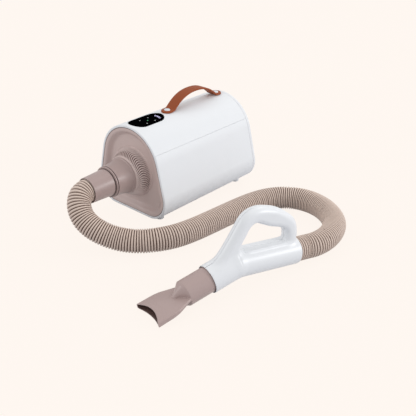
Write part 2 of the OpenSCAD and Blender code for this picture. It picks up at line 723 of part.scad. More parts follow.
// Point at a distance along the hose
function seek(s, lo, hi) = hi - lo <= 1 ? lo
  : let (m = floor((lo + hi) / 2)) hose_run[m] > s ? seek(s, lo, m) : seek(s, m, hi);
function along(s) = let (i = seek(s, 0, len(hose_run) - 1), f = (s - hose_run[i]) / (hose_run[i + 1] - hose_run[i]))
  hose_fine[i] + f * (hose_fine[i + 1] - hose_fine[i]);
hose_sides = 8;
bore_rings = 70;
rib_step = hose_len / (2 * hose_ribs);
module hose() color([0.74, 0.66, 0.62]) {
  outer = [for (i = [0 : 2 * hose_ribs]) along(min(rib_step * i, hose_len))];
  outer_r = [for (i = [0 : 2 * hose_ribs]) i % 2 == 0 ? hose_r - rib_d : hose_r];
  inner = [for (i = [0 : bore_rings]) along(min(hose_len * i / bore_rings, hose_len))];
  inner_r = [for (p = inner) hose_r - rib_d - hose_wall];
  points = concat(rings(outer, outer_r, hose_sides), rings(inner, inner_r, hose_sides));
  no = len(outer);
  ni = len(inner);
  start = no * hose_sides;
  ends = [for (k = [0 : hose_sides - 1]) let (j = (k + 1) % hose_sides, o = (no - 1) * hose_sides,
    e = start + (ni - 1) * hose_sides)
    each [[k, start + j, j], [k, start + k, start + j], [o + k, o + j, e + j], [o + k, e + j, e + k]]];
  polyhedron(points, concat(skin(no, hose_sides, 0, false), skin(ni, hose_sides, start, true), ends));
}
// Least clear distance between stretches of the hose that aren't neighbours
self_gap = min([for (i = [0 : 4 : len(hose_fine) - 1]) for (j = [i : 4 : len(hose_fine) - 1])
  if (hose_run[j] - hose_run[i] > 4 * straight) norm(hose_fine[j] - hose_fine[i]) - 2 * hose_r]);
// Least clear distance between two rib crests on the inside of the tightest bend
function bend_r(i) = let (a = hose_fine[i - fine / 2], b = hose_fine[i], c = hose_fine[i + fine / 2],
  u = unit(b - a), v = unit(c - b)) norm(c - a) / 2 / max(sin(acos(min(1, u * v)) / 2) * 2, 0.001);
tight_r = min([for (i = [fine : 3 : len(hose_fine) - fine - 1]) bend_r(i)]);
rib_gap = 2 * rib_step * (1 - hose_r / tight_r);
echo(hose_length = hose_len, tightest_bend = tight_r, self_gap = self_gap, rib_crest_gap = rib_gap);

// ---------- hose cuff on the machine ----------
spigot_l = 20;
module hose_cuff() color([0.70, 0.62, 0.60]) {
  r_in = hose_r + 0.5;
  difference() {
    union() {
      turned([[mouth_r - tube_wall, tube_end + spigot_l], [mouth_r - tube_wall, tube_end - 6],
        [r_in, tube_end - 6.1], [r_in, cuff_end], [r_in + 2, cuff_end], [r_in + 2.4, cuff_end + 0.6],
        [mouth_r - 1, tube_end - 7], [mouth_r - 1, tube_end - 4], [collar_r - 0.6, tube_end - 3.4],
        [collar_r - 0.6, tube_end - 0.5], [mouth_r - fit_gap, tube_end - 0.5],
        [mouth_r - fit_gap, tube_end + spigot_l]]);
      for (a = [90, 270]) intersection() {
        axial_ring(mouth_r + lug_h - 0.2, mouth_r - 1, lug_y - 1.2, lug_y + 1.6);
        translate([0, 0, axis_z]) rotate([0, a + 20, 0]) translate([0, lug_y - 3, -4.5]) cube([mouth_r + 4, 6, 9]);
      }
    }
    axial(ferrule_r + fit_gap, hose_in - fit_gap, tube_end - 6.6);
    axial_ring(mouth_r + 2, mouth_r - 1.3, tube_end + 5, tube_end + 7);
  }
}
module cuff_seal() color([0.1, 0.1, 0.1]) {
  axial_ring(mouth_r - fit_gap - 0.02, mouth_r - 1.3, tube_end + 5.1, tube_end + 6.9);
}
ferrule_r = hose_r + 2;
ferrule_in = (hose_r - rib_d - hose_wall) * cos(180 / hose_sides) - 0.2;
module cuff_ferrule() color([0.4, 0.36, 0.35]) {
  axial_ring(ferrule_r, ferrule_in - 1.4, hose_in, hose_in + 3);
  axial_ring(ferrule_in, ferrule_in - 1.4, hose_in - 24, hose_in + 0.1);
}

// ---------- handset ----------
module at_handset() translate(bend_at) rotate([0, 0, handset_turn]) children();
// Local frame of the barrel's front part: X forward along its axis
module at_front() at_handset() rotate([0, front_tilt, 0]) children();
// Local frame of the barrel's rear part: X backward along its axis
module at_rear() at_handset() rotate([0, -rear_tilt, 0]) rotate([0, 0, 180]) children();
module rod_x(r, x0, x1) translate([x0, 0, 0]) rotate([0, 90, 0]) rotate([0, 0, 40]) cylinder(r = r, h = x1 - x0);
module ring_x(r_out, r_in, x0, x1) {
  difference() {
    rod_x(r_out, x0, x1);
    rod_x(r_in, x0 - eps, x1 + eps);
  }
}
// Side outline of the grip: [distance behind the bend, height]
grip_edge = [[-47, 46], [-40, 58.5], [-24, 76.5], [-11.8, 92.6], [-0.9, 108], [10.5, 123.5], [24.5, 133],
  [42.8, 136], [63.3, 131.4], [84.7, 122.7], [105.6, 108.5], [122, 91.7], [127.2, 71], [125.5, 52],
  [113, 38], [90, 32], [30, 36], [-20, 34]];
// Side outline of the finger opening
grip_hole = [[9.5, 70], [11, 79], [19.5, 92], [27.5, 103.5], [38, 108], [50.7, 102], [69.3, 92.3],
  [90, 84], [100.5, 76], [104, 65], [101.5, 55], [91, 53.6], [60, 57.8], [28, 61.5], [14, 63.5]];
grip_steps = 3;
function loop_at(p, i, t) = let (n = len(p), a = p[(i + n - 1) % n], b = p[i], c = p[(i + 1) % n], d = p[(i + 2) % n])
  0.5 * (2 * b + (c - a) * t + (2 * a - 5 * b + 4 * c - d) * t * t + (3 * b - a - 3 * c + d) * t * t * t);
function smooth_loop(p) = [for (i = [0 : len(p) - 1]) for (k = [0 : grip_steps - 1]) loop_at(p, i, k / grip_steps)];
// The loop moved out by a distance, as [forward, up] from the bend
function moved(p, d) = [for (i = [0 : len(p) - 1])
  let (n = len(p), t = unit(p[(i + 1) % n] - p[(i + n - 1) % n])) [t[1] * d - p[i][0], p[i][1] + t[0] * d - grip_base]];
grip_outer = smooth_loop(grip_edge);
grip_inner = smooth_loop(grip_hole);
module grip_slab(inset, half) {
  rotate([90, 0, 0]) linear_extrude(2 * half, center = true) difference() {
    polygon(moved(grip_outer, -inset));
    polygon(moved(grip_inner, inset));
  }
}
// Space behind the plane that halves the barrel's bend, moved forward a little
module behind_bend(forward) {
  rotate([0, (front_tilt - rear_tilt) / 2, 0]) translate([forward - 300, -100, -100]) cube([300, 200, 200]);
}
// How much wider the barrel is in front of its bend
bend_step = 0.5;
module barrel(r, lf, lr) {
  difference() {
    rotate([0, front_tilt, 0]) rod_x(r + bend_step, -r / 2, lf);
    behind_bend(0);
  }
  intersection() {
    rotate([0, -rear_tilt, 0]) rod_x(r, -lr, r / 2);
    behind_bend(1);
  }
}
collar_depth = 24;
collar_out = bore_r + 0.9;
groove_x = rear_l - hose_inset - 3.4;
handset_screw_at = [[4, 93], [58, 118], [113, 84]];
module handset_body() {
  difference() {
    union() {
      barrel(barrel_r, front_l, rear_l);
      grip_slab(0, grip_b - 4);
      grip_slab(1.8, grip_b - 1.3);
      grip_slab(4.4, grip_b);
    }
    barrel(bore_r, front_l + eps, rear_l + eps);
    rotate([0, front_tilt, 0]) rod_x(collar_out, front_l - collar_depth, front_l + eps);
    rotate([0, -rear_tilt, 0]) rod_x(ferrule_r - 0.4 + fit_gap, -groove_x - 3.6, -groove_x);
    difference() {
      grip_slab(grip_wall + 0.6, grip_b - grip_wall - 0.5);
      barrel(barrel_r + 0.6, front_l, rear_l);
      for (p = handset_screw_at) screw_place(p) cylinder(r = 4, h = 40, center = true);
    }
  }
}
module screw_place(p) translate([-p[0], 0, p[1] - grip_base]) rotate([-90, 0, 0]) children();
// Half the play between the two shells
half_gap = 0.05;
module half_space(side) translate([-300, side > 0 ? half_gap : -100 - half_gap, -100]) cube([600, 100, 300]);
module handset_left() color("whitesmoke") at_handset() difference() {
  intersection() {
    handset_body();
    half_space(-1);
  }
  for (p = handset_screw_at) screw_place(p) {
    translate([0, 0, -20]) cylinder(r = 1.7, h = 30);
    translate([0, 0, -20]) cylinder(r = 3.1, h = 20 - 5.5);
  }
}
module handset_right() color("whitesmoke") at_handset() difference() {
  intersection() {
    handset_body();
    half_space(1);
  }
  for (p = handset_screw_at) screw_place(p) cylinder(r = 1.2, h = 16, center = true);
}
module handset_screws() color("silver") at_handset() {
  for (p = handset_screw_at) screw_place(p) {
    difference() {
      translate([0, 0, -8]) cylinder(r = 2.8, h = 2.4);
      translate([-0.4, -1.8, -9]) cube([0.8, 3.6, 2]);
      translate([-1.8, -0.4, -9]) cube([3.6, 0.8, 2]);
    }
    translate([0, 0, -5.7]) cylinder(r = 1.18, h = 13);
  }
}
module handset_ferrule() color([0.4, 0.36, 0.35]) at_rear() {
  x = groove_x + 0.2;
  ring_x(ferrule_r - 0.4, ferrule_in - 1.4, x, x + 3.2);
  ring_x(ferrule_in, ferrule_in - 1.4, x + 3.1, x + 3.2 + 22);
}

// ---------- nozzle ----------
nozzle_gap = 0.6;
spigot_r = bore_r - 1.6;
nozzle_spigot = 20;
module nozzle_collar() color("dimgray") at_front() {
  ring_x(collar_out - fit_gap, spigot_r + fit_gap, front_l - collar_depth + 0.3, front_l - 5);
}
blade_r = 3;
// Plan of the flat blade: a flare from the tube to the mouth with a hollow front edge
module blade_plan(inset) {
  w = mouth_w - inset;
  w0 = nozzle_r - 1 - inset;
  difference() {
    polygon([[nozzle_tube_l - 4, -w0 + 2], [nozzle_tube_l + 6, -w0 - 1], [nozzle_tube_l + 18, -w0 - 6],
      [nozzle_tube_l + 32, -w + 1.2], [nozzle_tube_l + 42, -w], [nozzle_l, -w], [nozzle_l, w],
      [nozzle_tube_l + 42, w], [nozzle_tube_l + 32, w - 1.2], [nozzle_tube_l + 18, w0 + 6],
      [nozzle_tube_l + 6, w0 + 1], [nozzle_tube_l - 4, w0 - 2]]);
    translate([nozzle_l + lip_arc - lip_hollow, 0]) circle(lip_arc, $fn = 180);
  }
}
lip_hollow = 5.5;
lip_arc = (mouth_w * mouth_w + lip_hollow * lip_hollow) / 2 / lip_hollow;
// Lens section across the blade
module lens(inset) {
  h = mouth_h / 2 - inset;
  w = mouth_w + 1.5 - inset;
  r = (w * w + h * h) / 2 / h;
  intersection() {
    translate([0, h - r]) circle(r, $fn = 360);
    translate([0, r - h]) circle(r, $fn = 360);
    square([2 * w, 2 * h + 2], center = true);
  }
}
module blade(inset, past) {
  intersection() {
    translate([0, 0, -30]) linear_extrude(60) {
      blade_plan(inset);
      if (past > 0) translate([nozzle_l - 12, -mouth_w + inset]) square([12 + past, 2 * (mouth_w - inset)]);
    }
    translate([nozzle_tube_l - 6, 0, 0]) rotate([90, 0, 90]) linear_extrude(nozzle_l - nozzle_tube_l + 10) lens(inset);
  }
}
pinch_l = 21;
pinch_h = 6;
module pinch(inset) {
  hull() {
    rod_x(nozzle_r - 0.2 - inset, nozzle_tube_l - 1.5, nozzle_tube_l - 0.4, $fn = 32);
    translate([nozzle_tube_l + 2, 0, 0]) cube([2, 5 - inset, 2 * (nozzle_r - 1.6 - inset)], center = true);
    translate([nozzle_tube_l + pinch_l - 1 - inset, 0, 0])
      cube([2, 4.4 - inset, 2 * (pinch_h - inset / 2)], center = true);
  }
}
module nozzle() color([0.68, 0.59, 0.57]) at_front() translate([front_l, 0, 0]) {
  difference() {
    union() {
      rod_x(nozzle_r, -3.6, nozzle_tube_l);
      pinch(0);
      blade(0, 0);
      rod_x(spigot_r, -nozzle_spigot, 0);
    }
    rod_x(spigot_r - nozzle_wall, -nozzle_spigot - eps, 2);
    rod_x(nozzle_r - nozzle_wall, 1.9, nozzle_tube_l - 0.8);
    pinch(nozzle_wall);
    blade(nozzle_wall, 5);
    ring_x(spigot_r + 1, seal_r, -12, -10);
  }
}
seal_r = spigot_r - 1;
module nozzle_seal() color([0.1, 0.1, 0.1]) at_front() translate([front_l, 0, 0])
  ring_x(spigot_r + fit_gap - 0.02, seal_r, -11.9, -10.1);

upper_housing();
lower_housing();
front_panel();
vent_ring();
outlet_tube();
rear_cap();
rear_screws();
feet();
foot_pads();
touch_panel();
control_board();
display_module();
strap();
strap_rivets();
strap_washers();
intake_cover();
intake_filter();
inlet_socket();
inlet_pins();
power_board();
power_parts();
motor_bulkhead();
motor_gasket();
fan_case();
diffuser();
motor_frame();
motor_stator();
motor_bearings();
motor_shaft();
motor_rotor();
impeller();
air_duct();
heater_frame();
heater_coil();
thermal_cutout();
hose_cuff();
cuff_seal();
cuff_ferrule();
hose();
handset_ferrule();
handset_left();
handset_right();
handset_screws();
nozzle_collar();
nozzle();
nozzle_seal();
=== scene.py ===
"""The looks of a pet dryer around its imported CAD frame.

Shapes are worked out in millimetres, in the frame's axes, and mesh_piece() writes them in metres.
Angles about the outlet axis start at the top and turn towards +X.
In a profile or a list of corners, a third value is the radius of that corner's rounding.
"""
import json
import math

import bmesh
import bpy
import numpy as np
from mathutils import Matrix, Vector


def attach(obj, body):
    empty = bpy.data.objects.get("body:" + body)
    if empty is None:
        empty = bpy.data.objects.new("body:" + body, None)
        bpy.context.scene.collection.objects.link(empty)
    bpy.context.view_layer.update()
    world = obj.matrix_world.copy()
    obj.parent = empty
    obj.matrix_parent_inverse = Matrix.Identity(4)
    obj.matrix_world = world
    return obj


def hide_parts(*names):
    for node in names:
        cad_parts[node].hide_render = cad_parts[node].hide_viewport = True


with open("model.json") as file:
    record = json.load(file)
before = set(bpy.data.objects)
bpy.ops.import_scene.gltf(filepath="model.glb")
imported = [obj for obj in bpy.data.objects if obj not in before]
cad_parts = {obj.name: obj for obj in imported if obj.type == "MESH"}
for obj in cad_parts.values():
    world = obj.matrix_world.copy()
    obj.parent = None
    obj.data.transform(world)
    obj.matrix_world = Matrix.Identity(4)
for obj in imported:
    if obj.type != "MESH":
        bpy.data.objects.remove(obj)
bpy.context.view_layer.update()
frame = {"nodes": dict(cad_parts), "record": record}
MM = 0.001
FULL_TURN = 2 * math.pi

# ---------- sizes shared with the CAD source ----------
BODY_L, BODY_H, TOP_R, CORNER_R, CORNER_X, FOOT_H = 271, 184, 79, 44, 49, 6.5
SPLIT_Z, AXIS_Z, RIM_W, WALL = 142, 89, 4.7, 3
FRONT, REAR = -BODY_L / 2, BODY_L / 2
CAP_Y = REAR - 7.5
DISH_DEPTH, DISH_SLOPE = 9, 20
DISH_FLOOR = FRONT + DISH_DEPTH
VENT_R, VENT_OUT, TUBE_R, COLLAR_R, MOUTH_R = 50, 17, 34.6, 31, 27.4
VENT_FACE = FRONT - VENT_OUT
TUBE_END = FRONT - 56
CUFF_END = TUBE_END - 52
HOSE_R, RIBS = 22, 186
BEND_AT = np.array([316, -197, 42.8])
GRIP_BASE = 41.4
HANDSET_TURN, FRONT_TILT, REAR_TILT = map(math.radians, (256.5, 12, 7.4))
BARREL_R, BORE_R, FRONT_L, REAR_L = 24.7, 22.5, 55, 130
NOZZLE_R, NOZZLE_L, MOUTH_W, MOUTH_H, NOZZLE_WALL, SPIGOT_R = 22.8, 117, 34.5, 13.5, 1.8, 20.9
STRAP_W, STRAP_T, STRAP_SPAN, STRAP_Y, STRAP_RISE = 24, 3.2, 142, 40, 28.5
PANEL_L, PANEL_W, PANEL_Y = 80, 44, -88


# ---------- camera: the photograph's angle, and the whole object in a square frame ----------
def make_camera(azimuth, elevation, distance, target, lens, sensor=36):
    a, e = math.radians(azimuth), math.radians(elevation)
    back = Vector((math.sin(a) * math.cos(e), -math.cos(a) * math.cos(e), math.sin(e)))
    camera = bpy.data.objects.new("camera", bpy.data.cameras.new("camera"))
    bpy.context.collection.objects.link(camera)
    camera.location = (Vector(target) + back * distance) * MM
    camera.rotation_euler = back.to_track_quat("Z", "Y").to_euler()
    camera.data.lens, camera.data.sensor_width = lens, sensor
    camera.data.clip_start, camera.data.clip_end = 0.05, 50
    bpy.context.scene.camera = camera


make_camera(azimuth=42.07, elevation=27.96, distance=1283.7, target=(236.3, -173.4, 109.7), lens=65.33)

# ---------- mesh helpers ----------
WELD = 1e-6  # points nearer than this are one, in metres
STRAIGHT = 0.02  # a corner that bends less than this isn't rounded, in radians
EDGE_SHARE = 0.48  # the most of an edge that one corner's rounding takes


def smooth_but(mesh, sharp):
    """Smooth shading, but for edges sharper than that angle."""
    mesh.shade_smooth()
    mesh.set_sharp_from_angle(angle=math.radians(sharp))


def mesh_piece(name, points, faces, sharp=30):
    """An object from points in millimetres."""
    mesh = bpy.data.meshes.new(name)
    in_metres = [tuple(float(c) * MM for c in p) for p in points]
    mesh.from_pydata(in_metres, [], [tuple(map(int, f)) for f in faces])
    bm = bmesh.new()
    bm.from_mesh(mesh)
    bmesh.ops.remove_doubles(bm, verts=bm.verts, dist=WELD)
    bmesh.ops.recalc_face_normals(bm, faces=bm.faces)
    bm.to_mesh(mesh)
    bm.free()
    if len(faces) > 1:
        smooth_but(mesh, sharp)
    piece = bpy.data.objects.new(name, mesh)
    bpy.context.collection.objects.link(piece)
    return piece


def store_valleys(piece, values):
    """Stores how deep each point lies between ribs or in a gap, 0 to 1, which sets its painted shade in the
    valley-shaded materials.
    """
    shade = piece.data.attributes.new("valley", "FLOAT", "POINT")
    shade.data.foreach_set("value", [float(v) for v in values])


def shade_valleys(piece, depth_at):
    """The same from a function of a point in millimetres."""
    store_valleys(piece, [depth_at(v.co / MM) for v in piece.data.vertices])


def loft(rows, closed=True, caps=False):
    """Points and faces of a skin over rings of equal length. closed joins the last ring to the first."""
    count = len(rows[0])
    points = [p for row in rows for p in row]
    faces = []
    for i in range(len(rows) if closed else len(rows) - 1):
        a, b = i * count, (i + 1) % len(rows) * count
        for k in range(count):
            j = (k + 1) % count
            faces.append((a + k, a + j, b + j, b + k))
    if caps:
        faces += [tuple(range(count)), tuple(range((len(rows) - 1) * count, len(rows) * count))]
    return points, faces


def join_parts(*parts):
    """Points and faces of several parts as one."""
    points, faces = [], []
    for p, f in parts:
        start = len(points)
        points += list(p)
        faces += [tuple(i + start for i in face) for face in f]
    return points, faces


def rounded(corners, radius=1, steps=5, closed=True):
    """A line of [a, b] corners, each one rounded."""
    out = []
    n = len(corners)
    for i, corner in enumerate(corners):
        here = np.array(corner[:2], float)
        if not closed and i in (0, n - 1):
            out.append(here)
            continue
        before, after = np.array(corners[i - 1][:2], float), np.array(corners[(i + 1) % n][:2], float)
        to_a, to_b = before - here, after - here
        la, lb = np.linalg.norm(to_a), np.linalg.norm(to_b)
        u, v = to_a / la, to_b / lb
        bend = math.acos(max(-1, min(1, float(-(u @ v)))))
        r = corner[2] if len(corner) > 2 else radius
        if r <= 0 or bend < STRAIGHT:
            out.append(here)
            continue
        cut = min(r * math.tan(bend / 2), EDGE_SHARE * la, EDGE_SHARE * lb)
        for k in range(steps + 1):
            t = k / steps
            out.append((1 - t) ** 2 * (here + u * cut) + 2 * t * (1 - t) * here + t * t * (here + v * cut))
    return out


def round_axis(r, y, a):
    """A point at a radius and an angle about the outlet axis."""
    return r * math.sin(a), y, AXIS_Z + r * math.cos(a)


def off_axis(p):
    """The radius of a point about the outlet axis."""
    return math.hypot(p.x, p.z - AXIS_Z)


def turned(profile, segments=144):
    """Points and faces of [radius, y] points turned about the outlet axis."""
    return loft([[round_axis(r, y, FULL_TURN * k / segments) for r, y in profile] for k in range(segments)])


def circle(x, y, r, n):
    return [(x + r * math.cos(a), y + r * math.sin(a)) for a in np.linspace(0, FULL_TURN, n, endpoint=False)]


def turned_upright(x, y, z, profile, n=48, caps=True):
    """Points and faces of [radius, height] points turned about an upright axis."""
    return loft([[(*p, z + h) for p in circle(x, y, r, n)] for r, h in profile], closed=False, caps=caps)


def cylinder_at(x, y0, z, r, length, segments=32):
    """A closed cylinder along +Y, to cut with."""
    rows = [[(x + r * math.cos(t), y, z + r * math.sin(t))
             for t in (FULL_TURN * k / segments for k in range(segments))] for y in (y0, y0 + length)]
    return loft(rows, closed=False, caps=True)


def box_at(low, high):
    """A closed box, to cut with."""
    x0, y0, z0 = low
    x1, y1, z1 = high
    return loft([[(x0, y0, z), (x1, y0, z), (x1, y1, z), (x0, y1, z)] for z in (z0, z1)],
                closed=False, caps=True)


def cut_with(piece, *solids, sharp=30):
    """Takes closed solids out of a piece."""
    for solid in solids:
        cutter = mesh_piece("cutter", *solid)
        step = piece.modifiers.new("cut", "BOOLEAN")
        step.operation, step.object, step.solver = "DIFFERENCE", cutter, "EXACT"
        bpy.context.view_layer.update()
        done = bpy.data.meshes.new_from_object(piece.evaluated_get(bpy.context.evaluated_depsgraph_get()))
        piece.modifiers.clear()
        piece.data = done
        bpy.data.objects.remove(cutter)
    smooth_but(piece.data, sharp)


def keep_side(piece, point, normal, sharp=30):
    """Keeps the part of a closed piece that lies on the normal's side of a plane, and closes it there."""
    bm = bmesh.new()
    bm.from_mesh(piece.data)
    bmesh.ops.bisect_plane(bm, geom=bm.verts[:] + bm.edges[:] + bm.faces[:],
                           plane_co=Vector(point) * MM, plane_no=Vector(normal), clear_inner=True)
    bmesh.ops.holes_fill(bm, edges=[e for e in bm.edges if e.is_boundary], sides=0)
    bmesh.ops.recalc_face_normals(bm, faces=bm.faces)
    bm.to_mesh(piece.data)
    bm.free()
    smooth_but(piece.data, sharp)


def clamp(value):
    return min(1, max(0, value))


# ---------- curves through points ----------
def curve_points(a, b, c, d, steps):
    """Points of a smooth curve from b up to c, where a comes before and d after."""
    return [0.5 * (2 * b + (c - a) * t + (2 * a - 5 * b + 4 * c - d) * t ** 2
                   + (3 * b - a - 3 * c + d) * t ** 3) for t in np.arange(steps) / steps]


def smooth_loop(points, steps=6):
    """A closed curve through the points."""
    p = np.array(points, float)
    shifted = [np.roll(p, k, axis=0) for k in (1, 0, -1, -2)]
    return np.array([q for four in zip(*shifted) for q in curve_points(*four, steps)])


def smooth_line(points, steps=10):
    """An open curve through the points."""
    p = np.array(points, float)
    p = np.concatenate([p[:1], p, p[-1:]])
    return np.array([q for four in zip(p, p[1:], p[2:], p[3:]) for q in curve_points(*four, steps)] + [p[-1]])


# ---------- fields: organic pieces are sampled as distances, negative inside, and skinned ----------
CELL_CORNERS = [(i, j, k) for i in (0, 1) for j in (0, 1) for k in (0, 1)]
RELAX_ROUNDS = 2
FLATTEST_SLOPE = 0.05  # keeps the step back to the surface finite where a field is nearly level
LONGEST_STEP = 0.7  # in cells


def cell_points(field, cells):
    """A point for each cell that the surface crosses: the mean of its crossings of the cell's edges."""
    values = {c: field[tuple(cells[:, i] + c[i] for i in range(3))] for c in CELL_CORNERS}
    total, hits = np.zeros((len(cells), 3)), np.zeros(len(cells))
    for a in CELL_CORNERS:
        for axis in range(3):
            if a[axis]:
                continue
            b = tuple(v + (i == axis) for i, v in enumerate(a))
            fa, fb = values[a], values[b]
            crossed = (fa < 0) != (fb < 0)
            t = np.where(crossed, fa / np.where(crossed, fa - fb, 1), 0)
            place = np.array(a, float) + np.outer(t, np.eye(3)[axis])
            total += place * crossed[:, None]
            hits += crossed
    return cells + total / hits[:, None]


def cell_faces(inside, index):
    """A quad round each grid edge that the surface crosses."""
    faces = []
    for axis in range(3):
        low, high = [slice(1, -1)] * 3, [slice(1, -1)] * 3
        low[axis], high[axis] = slice(0, -1), slice(1, None)
        a, b = inside[tuple(low)], inside[tuple(high)]
        where = np.argwhere(a != b)
        leaving = a[tuple(where.T)]
        where = where + np.array([0 if i == axis else 1 for i in range(3)])
        d_o, d_p = (np.eye(3, dtype=int)[(axis + k) % 3] for k in (1, 2))
        ring = [where - d_o - d_p, where - d_p, where, where - d_o]
        quad = np.stack([index[tuple(r.T)] for r in ring], axis=1)
        quad[~leaving] = quad[~leaving][:, ::-1]
        faces.append(quad)
    return np.concatenate(faces)


def relaxed(points, faces, field, slopes, step):
    """The points evened out along the surface, and brought back onto it."""
    near, seen = np.zeros_like(points), np.zeros(len(points))
    for k in range(4):
        for j in (1, 3):
            np.add.at(near, faces[:, k], points[faces[:, (k + j) % 4]])
            np.add.at(seen, faces[:, k], 1)
    points = points + 0.5 * (near / seen[:, None] - points)
    low = np.clip(np.floor(points).astype(int), 0, np.array(field.shape) - 2)
    part = points - low
    value, slope = 0, 0
    for c in CELL_CORNERS:
        weight = np.prod([part[:, i] if c[i] else 1 - part[:, i] for i in range(3)], axis=0)
        at = tuple(low[:, i] + c[i] for i in range(3))
        value = value + weight * field[at]
        slope = slope + weight[:, None] * slopes[at]
    size = np.maximum((slope ** 2).sum(1), FLATTEST_SLOPE * step * step)
    return points - np.clip(value / size, -LONGEST_STEP, LONGEST_STEP)[:, None] * slope


def skin_field(field, origin, step):
    """Points and quads of a sampled field's zero surface."""
    nx, ny, nz = field.shape
    inside = field < 0
    count = sum(inside[i:nx - 1 + i, j:ny - 1 + j, k:nz - 1 + k].astype(np.int8) for i, j, k in CELL_CORNERS)
    active = (count > 0) & (count < len(CELL_CORNERS))
    cells = np.argwhere(active)
    index = -np.ones(active.shape, int)
    index[active] = np.arange(len(cells))
    points, faces = cell_points(field, cells), cell_faces(inside, index)
    slopes = np.stack(np.gradient(field), axis=-1)
    for _ in range(RELAX_ROUNDS):
        points = relaxed(points, faces, field, slopes, step)
    return points * step + np.array(origin), faces


def local_grid(low, high, step):
    axes = [np.arange(a, b, step) for a, b in zip(low, high)]
    return np.meshgrid(*axes, indexing="ij")


def smooth_min(a, b, k):
    """The lesser of two fields, blended over a width k."""
    h = np.clip(0.5 + 0.5 * (b - a) / k, 0, 1)
    return b * (1 - h) + a * h - k * h * (1 - h)


def smooth_max(a, b, k):
    return -smooth_min(-a, -b, k)


def distance_to_loop(x, y, loop):
    """Signed distance of a grid of points to a closed line."""
    best = np.full(x.shape, 1e9)
    inside = np.zeros(x.shape, bool)
    for (ax, ay), (bx, by) in zip(loop, np.roll(loop, -1, axis=0)):
        ex, ey = bx - ax, by - ay
        t = np.clip(((x - ax) * ex + (y - ay) * ey) / (ex * ex + ey * ey), 0, 1)
        best = np.minimum(best, np.hypot(x - ax - t * ex, y - ay - t * ey))
        inside ^= ((ay > y) != (by > y)) & (x < (bx - ax) * (y - ay) / (by - ay if by != ay else 1e-9) + ax)
    return np.where(inside, -best, best)


# ---------- hose: one ribbed tube from the cuff to the handset ----------
REAR_WAY = np.array([-math.cos(HANDSET_TURN) * math.cos(REAR_TILT),
                     -math.sin(HANDSET_TURN) * math.cos(REAR_TILT), -math.sin(REAR_TILT)])
HOSE_IN = TUBE_END - 10
LYING_Z = 22.4  # the middle of the hose where it lies on the floor
HOSE_ROUTE = [(0, -248, AXIS_Z), (4, -263.5, 84), (15, -275.5, 71), (33, -279, 54), (58, -272, 39),
              (86, -254.5, 27)]
HOSE_ROUTE += [(x, y, LYING_Z) for x, y in (
    (114, -233), (139, -204), (155, -171), (163, -134), (167, -95), (170, -55), (173, -16), (178, 21),
    (188, 54), (206, 81), (232, 98), (262, 103), (293, 97), (321, 82), (344, 60), (358, 31), (363, 1),
    (360, -26))]
HOSE_TAIL = (25, 10, -21)  # distances behind the barrel's rear end
HOSE_SIDES, BORE_RINGS, BORE_INSET = 40, 260, 4.2
# One rib as parts of its pitch, with depths below its crest
RIB_PROFILE = [(0.0, 2.7), (0.1, 2.35), (0.22, 0.55), (0.34, 0.06), (0.5, 0.0), (0.66, 0.06), (0.78, 0.55),
               (0.9, 2.35)]
RIB_DEPTH = RIB_PROFILE[0][1]


def hose_line():
    start = [(0, HOSE_IN, AXIS_Z), (0, (HOSE_IN + HOSE_ROUTE[0][1]) / 2, AXIS_Z)]
    tail = [tuple(BEND_AT + REAR_WAY * (REAR_L + d)) for d in HOSE_TAIL]
    return smooth_line(start + HOSE_ROUTE + tail)


def resample(line, stations):
    run = np.concatenate([[0], np.cumsum(np.linalg.norm(np.diff(line, axis=0), axis=1))])
    return np.stack([np.interp(stations, run, line[:, i]) for i in range(3)], axis=1)


def unit_ways(line):
    """The line's direction at each of its points."""
    way = np.gradient(line, axis=0)
    return way / np.linalg.norm(way, axis=1)[:, None]


def sweep(line, radii, sides):
    """Rings about a line, turned along it without twist."""
    way = unit_ways(line)
    side = np.cross(way[0], (0, 0, 1))
    a = np.arange(sides) * FULL_TURN / sides
    rows = []
    for p, t, r in zip(line, way, radii):
        side = side - t * (side @ t)
        side /= np.linalg.norm(side)
        up = np.cross(side, t)
        rows.append(p + r * (np.outer(np.cos(a), side) + np.outer(np.sin(a), up)))
    return rows


def make_hose():
    line = hose_line()
    length = float(np.linalg.norm(np.diff(line, axis=0), axis=1).sum())
    pitch = length / RIBS
    rings = [((rib + part) * pitch, depth) for rib in range(RIBS) for part, depth in RIB_PROFILE]
    stations, depths = zip(*rings, (length, RIB_DEPTH))
    outer = sweep(resample(line, stations), [HOSE_R - d for d in depths], HOSE_SIDES)
    bore = loft(sweep(resample(line, np.linspace(length, 0, BORE_RINGS)), [HOSE_R - BORE_INSET] * BORE_RINGS,
                      HOSE_SIDES), closed=False)
    hose = mesh_piece("hose_tube", *join_parts(loft(outer, closed=False), bore), sharp=60)
    # each point's depth, and so its painted shade, is found by its place; a place that isn't found gets the
    # bore's full painted shade, dark
    depth_of = {tuple(round(float(c), 2) for c in p): d / RIB_DEPTH
                for row, d in zip(outer, depths) for p in row}
    store_valleys(hose, [depth_of.get(tuple(round(c / MM, 2) for c in v.co), 1.0)
                         for v in hose.data.vertices])
    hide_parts("hose")
    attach(hose, "machine")
    return hose


hose = make_hose()

# ---------- materials ----------
MOTTLE_SCALE, GRAIN_RELIEF, LEATHER_RELIEF, MARK_GLOW = 14, 0.0002, 0.0004, 0.5


def new_node(owner, kind, values=None, **settings):
    """A shader node with its settings and the values on its sockets."""
    node = owner.node_tree.nodes.new(kind)
    for name, value in settings.items():
        setattr(node, name, value)
    for socket, value in (values or {}).items():
        node.inputs[socket].default_value = value
    return node


